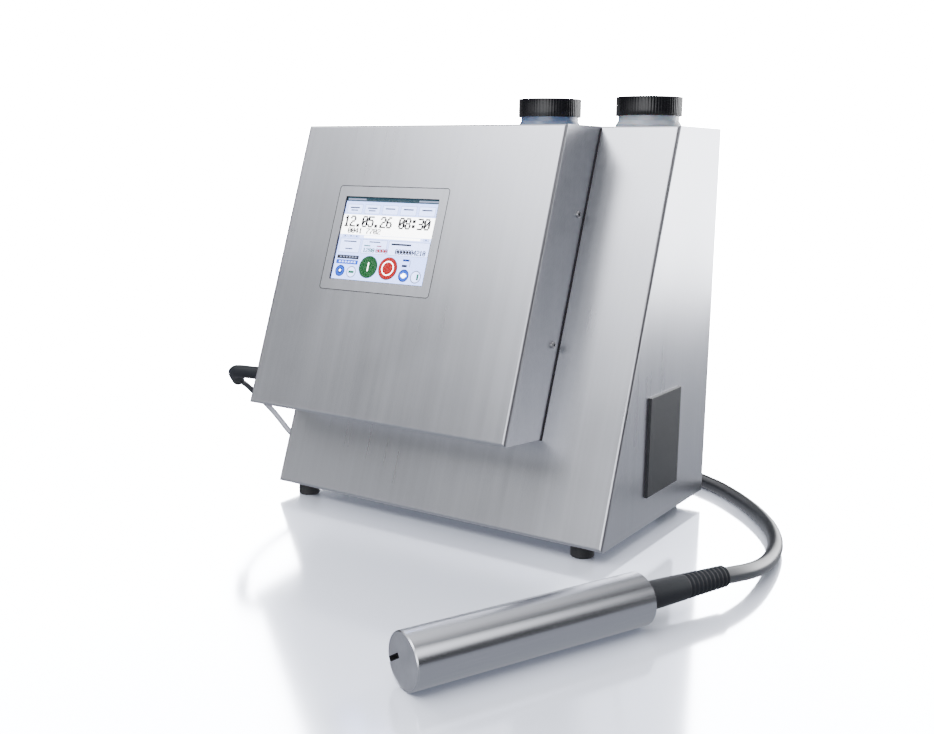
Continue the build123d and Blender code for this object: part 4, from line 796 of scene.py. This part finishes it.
class DATECODER_OT_screen(bpy.types.Operator):
    """Lay out the lit screen: buttons, printed message, counters and round start and stop keys"""
    bl_idname = "datecoder.screen"
    bl_label = "Screen"

    def execute(self, context):
        tiles = [tile(0, 0, 1, 1, SKY, 0), tile(0, 0, 1, 0.05, TEAL, 1),
                 tile(0.01, 0.015, 0.21, 0.034, GREY, 2), tile(0.78, 0.015, 0.98, 0.034, GREY, 2)]
        for i in range(5):
            x = 0.022 + i * 0.194
            tiles += [tile(x, 0.085, x + 0.168, 0.195, GREY, 1, 0.6),
                      tile(x + 0.003, 0.089, x + 0.165, 0.191, PALE, 2, 0.6),
                      tile(x + 0.03, 0.118, x + 0.135, 0.134, INKY, 3)]
            if i < 2:
                tiles.append(tile(x + 0.045, 0.15, x + 0.12, 0.164, INKY, 3))
        tiles += [tile(0, 0.21, 1, 0.45, WHITE, 1)]
        tiles += number("12.05.26 08:30", 0.012, 0.222, 0.135, BLACK, 2, 0.765)
        tiles += number("0041 7702", 0.075, 0.368, 0.066, BLACK, 2, 0.95)
        tiles += [tile(0.0, 0.452, 1, 0.486, PALE, 1), tile(0.27, 0.455, 0.87, 0.482, WHITE, 2)]
        for x in (0.03, 0.095, 0.16, 0.9):
            tiles += [tile(x, 0.454, x + 0.058, 0.484, GREY, 2, 0.4),
                      tile(x + 0.003, 0.457, x + 0.055, 0.481, SKY, 3, 0.4),
                      tile(x + 0.022, 0.462, x + 0.036, 0.476, INKY, 4)]
        for x0, x1 in ((0.02, 0.245), (0.265, 0.535), (0.555, 0.98)):
            tiles += [tile(x0, 0.500, x1, 0.668, GREY, 1, 0.5),
                      tile(x0 + 0.003, 0.504, x1 - 0.003, 0.664, PALE, 2, 0.5)]
        tiles += [tile(0.06, 0.527, 0.20, 0.541, INKY, 3), tile(0.09, 0.615, 0.17, 0.629, INKY, 3),
                  tile(0.34, 0.520, 0.46, 0.533, INKY, 3), tile(0.29, 0.566, 0.36, 0.580, MINT, 3),
                  tile(0.43, 0.566, 0.48, 0.580, RED, 3), tile(0.58, 0.527, 0.79, 0.549, INKY, 3)]
        tiles += number("1280", 0.285, 0.600, 0.05, MINT, 3)
        tiles += number("0000", 0.425, 0.600, 0.05, RED, 3)
        tiles += number("0000004210", 0.635, 0.592, 0.06, BLACK, 3, 0.82)
        tiles += [tile(0.02, 0.700, 0.26, 0.744, BLACK, 1),
                  tile(0.02, 0.756, 0.26, 0.806, AZURE, 1)]
        for i in range(6):
            tiles += [tile(0.05 + i * 0.033, 0.712, 0.07 + i * 0.033, 0.728, GREY, 2),
                      tile(0.05 + i * 0.033, 0.770, 0.07 + i * 0.033, 0.790, SKY, 2)]
        for x, y, r, rim, face in ((0.082, 0.890, 0.052, BLUE, AZURE),
                                   (0.208, 0.895, 0.052, GREY, PALE),
                                   (0.772, 0.890, 0.055, BLUE, AZURE),
                                   (0.898, 0.895, 0.055, GREY, PALE)):
            tiles += [disc(x, y, r, rim, 1), disc(x, y, r * 0.82, face, 2)]
        tiles += [disc(0.082, 0.890, 0.024, BLUE, 3), disc(0.082, 0.886, 0.011, WHITE, 4),
                  tile(0.178, 0.882, 0.238, 0.910, MINT, 3), disc(0.772, 0.890, 0.022, WHITE, 3),
                  tile(0.742, 0.880, 0.802, 0.900, WHITE, 3),
                  tile(0.908, 0.860, 0.928, 0.930, MINT, 3)]
        tiles += [disc(0.382, 0.823, 0.100, TEAL, 1), disc(0.380, 0.820, 0.095, GREEN, 2),
                  tile(0.375, 0.768, 0.385, 0.872, WHITE, 3, 0.4)]
        tiles += [disc(0.594, 0.823, 0.100, INKY, 1), disc(0.592, 0.820, 0.095, RED, 2),
                  disc(0.592, 0.820, 0.064, WHITE, 3), disc(0.592, 0.820, 0.055, RED, 4)]
        tiles += [tile(0.735, 0.700, 0.805, 0.726, BLUE, 1),
                  tile(0.735, 0.765, 0.79, 0.792, INKY, 1),
                  tile(0.812, 0.710, 0.819, 0.785, GREY, 1)]
        picture = join(tiles, "screen_picture")
        settle(picture, SCREEN @ Matrix.Translation((0, 0, -PICTURE_DEPTH * MM)))
        finish_as(picture, FINISHES["picture"])
        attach(picture, "cabinet")
        return {"FINISHED"}


# ---------------------------------------------------------------- caps
CAP_LOW, CAP_HIGH, CAP_R = 397.0, 415.0, 31.9
RIB_RISE = 0.35


def ribbed_cap(name, x, ribs):
    """A screw cap: smooth rolled top, fine upright grip ribs, hollow underneath."""
    clear()
    count, tall = ribs * 4, (CAP_HIGH - CAP_LOW) * MM
    bpy.ops.mesh.primitive_cylinder_add(vertices=count, radius=CAP_R * MM, depth=tall,
                                        location=(0, 0, tall / 2))
    piece = named(name)
    settle(piece)
    edit()
    sides = [f.index for f in piece.data.polygons if abs(f.normal.z) < 0.1]
    order = {index: i for i, index in enumerate(sorted(sides, key=lambda i: atan2(
        piece.data.polygons[i].center.y, piece.data.polygons[i].center.x)))}
    pick(piece, lambda f: f.index in order and order[f.index] % 4 in (0, 1))
    bpy.ops.mesh.extrude_region_shrink_fatten(TRANSFORM_OT_shrink_fatten={"value": RIB_RISE * MM})
    pick(piece, lambda f: f.normal.z > 0.9 and f.area > 0.0001)
    bpy.ops.mesh.inset(thickness=1.0 * MM)
    bpy.ops.transform.translate(value=(0, 0, -0.2 * MM))
    bpy.ops.mesh.inset(thickness=1.4 * MM)
    bpy.ops.transform.translate(value=(0, 0, -0.8 * MM))
    pick(piece, lambda f: f.normal.z < -0.9 and f.area > 0.0001)
    bpy.ops.mesh.inset(thickness=1.8 * MM)
    bpy.ops.mesh.extrude_region_move(TRANSFORM_OT_translate={"value": (0, 0, 15.4 * MM)})
    everything()
    bpy.ops.mesh.normals_make_consistent(inside=False)
    leave()
    bevel = piece.modifiers.new("soft edges", "BEVEL")
    bevel.width = 0.18 * MM
    bevel.segments = 2
    bevel.limit_method = "ANGLE"
    bevel.angle_limit = radians(40)
    apply(piece, bevel)
    settle(piece, Matrix.Translation(at(x, NECK_Y, CAP_LOW)))
    return smooth(piece, 30.0)


class DATECODER_OT_caps(bpy.types.Operator):
    """Model the two ribbed screw caps of the ink and solvent tanks"""
    bl_idname = "datecoder.caps"
    bl_label = "Tank Caps"

    def execute(self, context):
        ribs = context.scene.datecoder_sizes.cap_ribs
        for name, x in (("ink", INK_X), ("solvent", SOLVENT_X)):
            cap = ribbed_cap(f"{name}_cap_ribbed", x, ribs)
            finish_as(cap, FINISHES["cap"])
            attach(cap, f"{name}_cap_turn")
            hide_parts(f"{name}_cap")
        return {"FINISHED"}


# ---------------------------------------------------------------- painted shadow lines
def ring(name, wide, high, band, thick, place, corner=0.0, unwanted=None):
    """A flat frame of the given outer size, raised from its own plane, in millimetres."""
    clear()
    bpy.ops.mesh.primitive_plane_add(size=1.0)
    piece = named(name)
    piece.scale = (wide * MM, high * MM, 1.0)
    settle(piece)
    edit()
    if corner:
        bpy.ops.mesh.bevel(offset=corner * MM, segments=6, affect="VERTICES")
        everything()
    bpy.ops.mesh.inset(thickness=band * MM)
    bpy.ops.mesh.delete(type="FACE")
    if unwanted:
        pick(piece, unwanted)
        bpy.ops.mesh.delete(type="FACE")
    everything()
    bpy.ops.mesh.extrude_region_move(TRANSFORM_OT_translate={"value": (0, 0, thick * MM)})
    everything()
    bpy.ops.mesh.normals_make_consistent(inside=False)
    leave()
    settle(piece, place)
    return smooth(piece)


def slot_shade_box():
    """A dark open box behind the outer end of the head's slot, open towards the jet: painted shade
    that keeps the slot dark.
    """
    low, high = Vector((0.3, 8.0, 3.3)), Vector((5.9, 19.6, 7.1))
    clear()
    bpy.ops.mesh.primitive_cube_add(size=1.0, location=(low + high) / 2 * MM)
    piece = named("slot_shade_box")
    piece.scale = (high - low) * MM
    settle(piece)
    edit()
    pick(piece, lambda f: f.normal.x < -0.9 or f.normal.y < -0.9)
    bpy.ops.mesh.delete(type="FACE")
    pick(piece, lambda e: True, "EDGE")
    bpy.ops.mesh.subdivide(number_cuts=2)
    leave()
    wall = piece.modifiers.new("wall", "SOLIDIFY")
    wall.thickness = 0.35 * MM
    wall.offset = -1.0
    apply(piece, wall)
    return settle(piece, frame_of(at(*HEAD_FRONT), HEAD_AXIS, HEAD_UP))


class DATECODER_OT_gaskets(bpy.types.Operator):
    """Model the dark bands round the screen's plate, inside its window and along the housing's
    foot, and the dark box in the head's slot: painted shadow lines and painted shade
    """
    bl_idname = "datecoder.gaskets"
    bl_label = "Shadow Lines"

    def execute(self, context):
        left, right, top, bottom = HOUSING_FOOT
        foot = frame_of(on_front((left + right) / 2, (top + bottom) / 2, 0.0), (1, 0, 0), OUT)
        # Each ring is a thin dark band of painted shadow: in the gap round the bezel, inside the
        # window's edge and under the housing's foot.
        made = [ring("bezel_gasket", BEZEL_W + 1.1, BEZEL_H + 1.1, 0.75, 0.32,
                     SCREEN @ Matrix.Translation((0, 0, -0.25 * MM)), 3.5),
                ring("window_gasket", VIEW_W, VIEW_H, 0.5, 1.2,
                     SCREEN @ Matrix.Translation((0, 0, -1.45 * MM))),
                ring("housing_gasket", right - left, bottom - top, 1.2, 0.8, foot,
                     unwanted=lambda f: f.center.x < -0.1 or f.center.y > 0.1)]
        for piece in made:
            finish_as(piece, FINISHES["gasket"])
            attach(piece, "cabinet")
        shield = finish_as(slot_shade_box(), FINISHES["gasket"])
        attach(shield, "head_cover")
        return {"FINISHED"}


# ---------------------------------------------------------------- boots
BOOT_INSIDE = 9.0       # how far the head's boot starts inside the head
GLAND_FACE = (158.0, 22.0, 45.0)


def boot_outline(length, base, tip, smooth_part, ribs, depth):
    """The outline of a ribbed, tapered sleeve with soft rings."""
    outline = [(0.0, 0.0), (base - 0.6, 0.0), (base, 0.6)]
    pitch = (length - smooth_part) / ribs
    for i in range(ribs):
        start = smooth_part + pitch * i
        for part, dip in ((0.0, 0.0), (0.15, 0.15), (0.28, 0.8), (0.42, 1.0), (0.62, 1.0),
                          (0.76, 0.8), (0.88, 0.15)):
            along = start + pitch * part
            radius = base + (tip - base) * along / length
            outline.append((radius - depth * dip, along))
    outline += [(tip, length - 0.5), (tip - 0.5, length), (0.0, length)]
    return outline


class DATECODER_OT_boots(bpy.types.Operator):
    """Model the rubber bend reliefs at both ends of the umbilical"""
    bl_idname = "datecoder.boots"
    bl_label = "Bend Reliefs"

    def execute(self, context):
        start = HEAD_FRONT + HEAD_AXIS * (HEAD_LENGTH - BOOT_INSIDE)
        place = frame_of(at(*start), (0, 0, 1), HEAD_AXIS)
        boot = turned("head_boot_rubber", boot_outline(
            length=99.0, base=12.0, tip=9.0, smooth_part=54.0, ribs=10, depth=0.75), place)
        gland = frame_of(at(*GLAND_FACE), (0, 0, 1), (0, 1, 0))
        rear = turned("rear_boot_rubber", boot_outline(
            length=40.0, base=11.5, tip=8.6, smooth_part=12.0, ribs=6, depth=0.9), gland)
        for piece, stands_for in ((boot, "head_boot"), (rear, "umbilical_rear_boot")):
            finish_as(piece, FINISHES["boot"])
            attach(piece, "cabinet")
            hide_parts(stands_for)
        return {"FINISHED"}


# ---------------------------------------------------------------- finishes of the CAD pieces
NODE_FINISH = {
    "sheet": "cabinet_shell display_housing rear_panel",
    "bezel": "display_bezel",
    "head": "head_tube",
    "face": "head_cap",
    "frame": "base_tray partition_panel tank_shelf screen_carrier power_supply pump_motor "
             "housing_frame",
    "screw": "panel_screws housing_screws board_standoffs",
    "rubber": "rubber_feet",
    "boot": "cable_grommet link_relief head_boot umbilical_rear_boot",
    "glass": "touch_glass",
    "board": "control_board main_board",
    "ink": "ink_tank",
    "clear": "solvent_tank service_tank",
    "cap": "ink_cap solvent_cap",
    "liner": "ink_cap_liner solvent_cap_liner",
    "vent": "vent_cover",
    "foam": "filter_mat",
    "black": "fan_frame fan_rotor mains_inlet fuse_drawer mains_rocker umbilical_gland link_gland "
             "valve_coils lcd_module",
    "alloy": "pump_body valve_block pump_rotor pulse_damper head_chassis nozzle_body gutter",
    "white": "ink_filter",
    "hose": "ink_hoses",
    "nickel": "signal_sockets network_socket",
    "ceramic": "charge_electrode deflector_plates",
    "strap": "coil_tie",
    "jacket": "umbilical umbilical_lead umbilical_coil link_cable",
}


class DATECODER_OT_finishes(bpy.types.Operator):
    """Make every finish and give each CAD piece its own"""
    bl_idname = "datecoder.finishes"
    bl_label = "Finishes"

    def execute(self, context):
        make_finishes(context.scene.datecoder_look)
        for name, nodes in NODE_FINISH.items():
            for label in nodes.split():
                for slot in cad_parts[label].material_slots:
                    slot.material = FINISHES[name]
        return {"FINISHED"}


# ---------------------------------------------------------------- studio
def soft_light(name, place, target, width, height, power):
    """A rectangular soft box aimed at a point."""
    light = bpy.data.lights.new(name, "AREA")
    light.shape = "RECTANGLE"
    light.size, light.size_y = width, height
    light.energy = power
    holder = added(name, light)
    holder.location = place
    holder.rotation_euler = (Vector(target) - Vector(place)).to_track_quat("-Z", "Y").to_euler()
    return holder


def floor_finish(colour):
    """Glossy pale acrylic; what it throws back at the object is kept soft."""
    material, tree, shader = finish("studio floor", colour, 0.45, 0.1)
    haze = ramp(tree, noise(tree, spot(tree), 1.5), 0.3, 0.7, 0.08, 0.14)
    feed(shader, "Roughness", haze)
    seen = node(tree, "LightPath").outputs["Is Camera Ray"]
    soft = node(tree, "Emission", {"Color": (0.93, 0.97, 1.08, 1.0), "Strength": 0.46})
    mix = node(tree, "MixShader", {0: seen, 1: soft.outputs[0], 2: shader.outputs[0]})
    tree.links.new(mix.outputs[0], tree.nodes["Material Output"].inputs["Surface"])
    return material


FLOOR_RADIUS = 2.2
WHITE_OUT = 40.0        # strength of the pure white behind the object
BACKDROP_W, BACKDROP_H = 9.0, 2.9
CAMERA_AT = (781.9, -1063.6, 353.1)
CAMERA_TURN, CAMERA_TILT, CAMERA_ROLL = 33.225, 10.812, 0.711

# Each broad glow of the surroundings: its direction, where it starts and is full, its strength.
GLOWS = [((-0.31, -0.63, 0.71), 0.93, 0.995, 6.5), ((0.25, 0.97, 0.06), 0.80, 0.98, 5.4),
         ((0.13, -0.99, -0.01), 0.80, 0.98, 4.4), ((-0.31, -0.03, 0.95), 0.50, 0.95, 1.67),
         ((0.75, 0.01, 0.66), 0.93, 0.995, 2.9), ((-0.70, -0.71, -0.03), 0.93, 0.995, 1.0),
         ((0.57, 0.82, 0.0), 0.80, 0.98, 2.5)]


def surroundings(scene, base):
    """White behind the object, and soft broad glows where the studio's big lights stand."""
    world = scene.world or bpy.data.worlds.new("studio")
    scene.world = world
    world.use_nodes = True
    tree = world.node_tree
    sky = tree.nodes["Background"]
    sky.inputs["Color"].default_value = (0.97, 0.98, 1.0, 1.0)
    toward = node(tree, "TexCoord").outputs["Generated"]
    total = base
    for direction, start, full, strength in GLOWS:
        agree = dot(tree, toward, Vector(direction).normalized())
        glow = node(tree, "MapRange", {0: agree, 1: start, 2: full, 3: 0.0, 4: strength},
                    interpolation_type="SMOOTHSTEP").outputs[0]
        total = maths(tree, "ADD", total, glow)
    seen = node(tree, "LightPath").outputs["Is Camera Ray"]
    strength = node(tree, "Mix", {0: seen, 2: total, 3: WHITE_OUT}).outputs[0]
    feed(sky, "Strength", strength)


class DATECODER_OT_stage(bpy.types.Operator):
    """Set up the pale glossy floor, the soft lights and the camera"""
    bl_idname = "datecoder.stage"
    bl_label = "Stage"

    def execute(self, context):
        studio = context.scene.datecoder_studio
        clear()
        bpy.ops.mesh.primitive_circle_add(vertices=96, radius=FLOOR_RADIUS, fill_type="NGON")
        floor = named("studio_floor")
        floor.data.materials.append(floor_finish(tuple(studio.floor)))
        surroundings(context.scene, studio.backdrop)
        only_floor = bpy.data.collections.new("floor only")
        only_floor.objects.link(floor)
        middle = at(190, -180, 150)
        behind = Vector((-0.54, 0.82, 0.0)).normalized()
        lamps = [soft_light("backdrop", middle + behind * 3.2 + Vector((0, 0, 1.2)),
                            middle + Vector((0, 0, 1.05)), BACKDROP_W, BACKDROP_H,
                            BACKDROP_W * BACKDROP_H * pi * WHITE_OUT),
                 soft_light("floor wash", middle + Vector((-0.4, -1.2, 3.0)), middle, 4.0, 4.0,
                            studio.wash)]
        for lamp in lamps:
            lamp.light_linking.receiver_collection = only_floor
        camera = bpy.data.cameras.new("camera")
        camera.lens = studio.lens
        camera.sensor_width = 36.0
        camera.clip_start = 0.02
        holder = added("camera", camera)
        look = Matrix.Rotation(radians(CAMERA_TURN), 4, "Z") @ Matrix.Rotation(
            radians(90.0 - CAMERA_TILT), 4, "X") @ Matrix.Rotation(radians(CAMERA_ROLL), 4, "Z")
        holder.matrix_world = Matrix.Translation(at(*CAMERA_AT)) @ look
        context.scene.camera = holder
        return {"FINISHED"}


class DATECODER_PT_panel(bpy.types.Panel):
    """Everything that builds the printer, in order"""
    bl_idname = "DATECODER_PT_panel"
    bl_label = "Date Coder"
    bl_space_type = "VIEW_3D"
    bl_region_type = "UI"
    bl_category = "Date Coder"

    def draw(self, context):
        scene = context.scene
        for settings in (scene.datecoder_look, scene.datecoder_sizes, scene.datecoder_studio):
            for name in settings.__annotations__:
                self.layout.prop(settings, name)
        for operator in OPERATORS:
            self.layout.operator(operator.bl_idname)


OPERATORS = (DATECODER_OT_finishes, DATECODER_OT_stage, DATECODER_OT_umbilical,
             DATECODER_OT_link_cable, DATECODER_OT_screen, DATECODER_OT_caps,
             DATECODER_OT_gaskets, DATECODER_OT_boots)
SETTINGS = {"datecoder_look": DATECODER_PG_look, "datecoder_sizes": DATECODER_PG_sizes,
            "datecoder_studio": DATECODER_PG_studio}


def register():
    """Registers the settings, operators and panel."""
    for name, group in SETTINGS.items():
        bpy.utils.register_class(group)
        setattr(bpy.types.Scene, name, bpy.props.PointerProperty(type=group))
    for operator in OPERATORS:
        bpy.utils.register_class(operator)
    bpy.utils.register_class(DATECODER_PT_panel)


def unregister():
    """Takes them away again, last first."""
    bpy.utils.unregister_class(DATECODER_PT_panel)
    for operator in reversed(OPERATORS):
        bpy.utils.unregister_class(operator)
    for name, group in reversed(list(SETTINGS.items())):
        delattr(bpy.types.Scene, name)
        bpy.utils.unregister_class(group)


def main():
    """Builds every piece in order."""
    register()
    bpy.ops.datecoder.finishes()
    bpy.ops.datecoder.stage()
    bpy.ops.datecoder.umbilical()
    bpy.ops.datecoder.link_cable()
    bpy.ops.datecoder.screen()
    bpy.ops.datecoder.caps()
    bpy.ops.datecoder.gaskets()
    bpy.ops.datecoder.boots()
    clear()


if __name__ == "__main__":
    main()
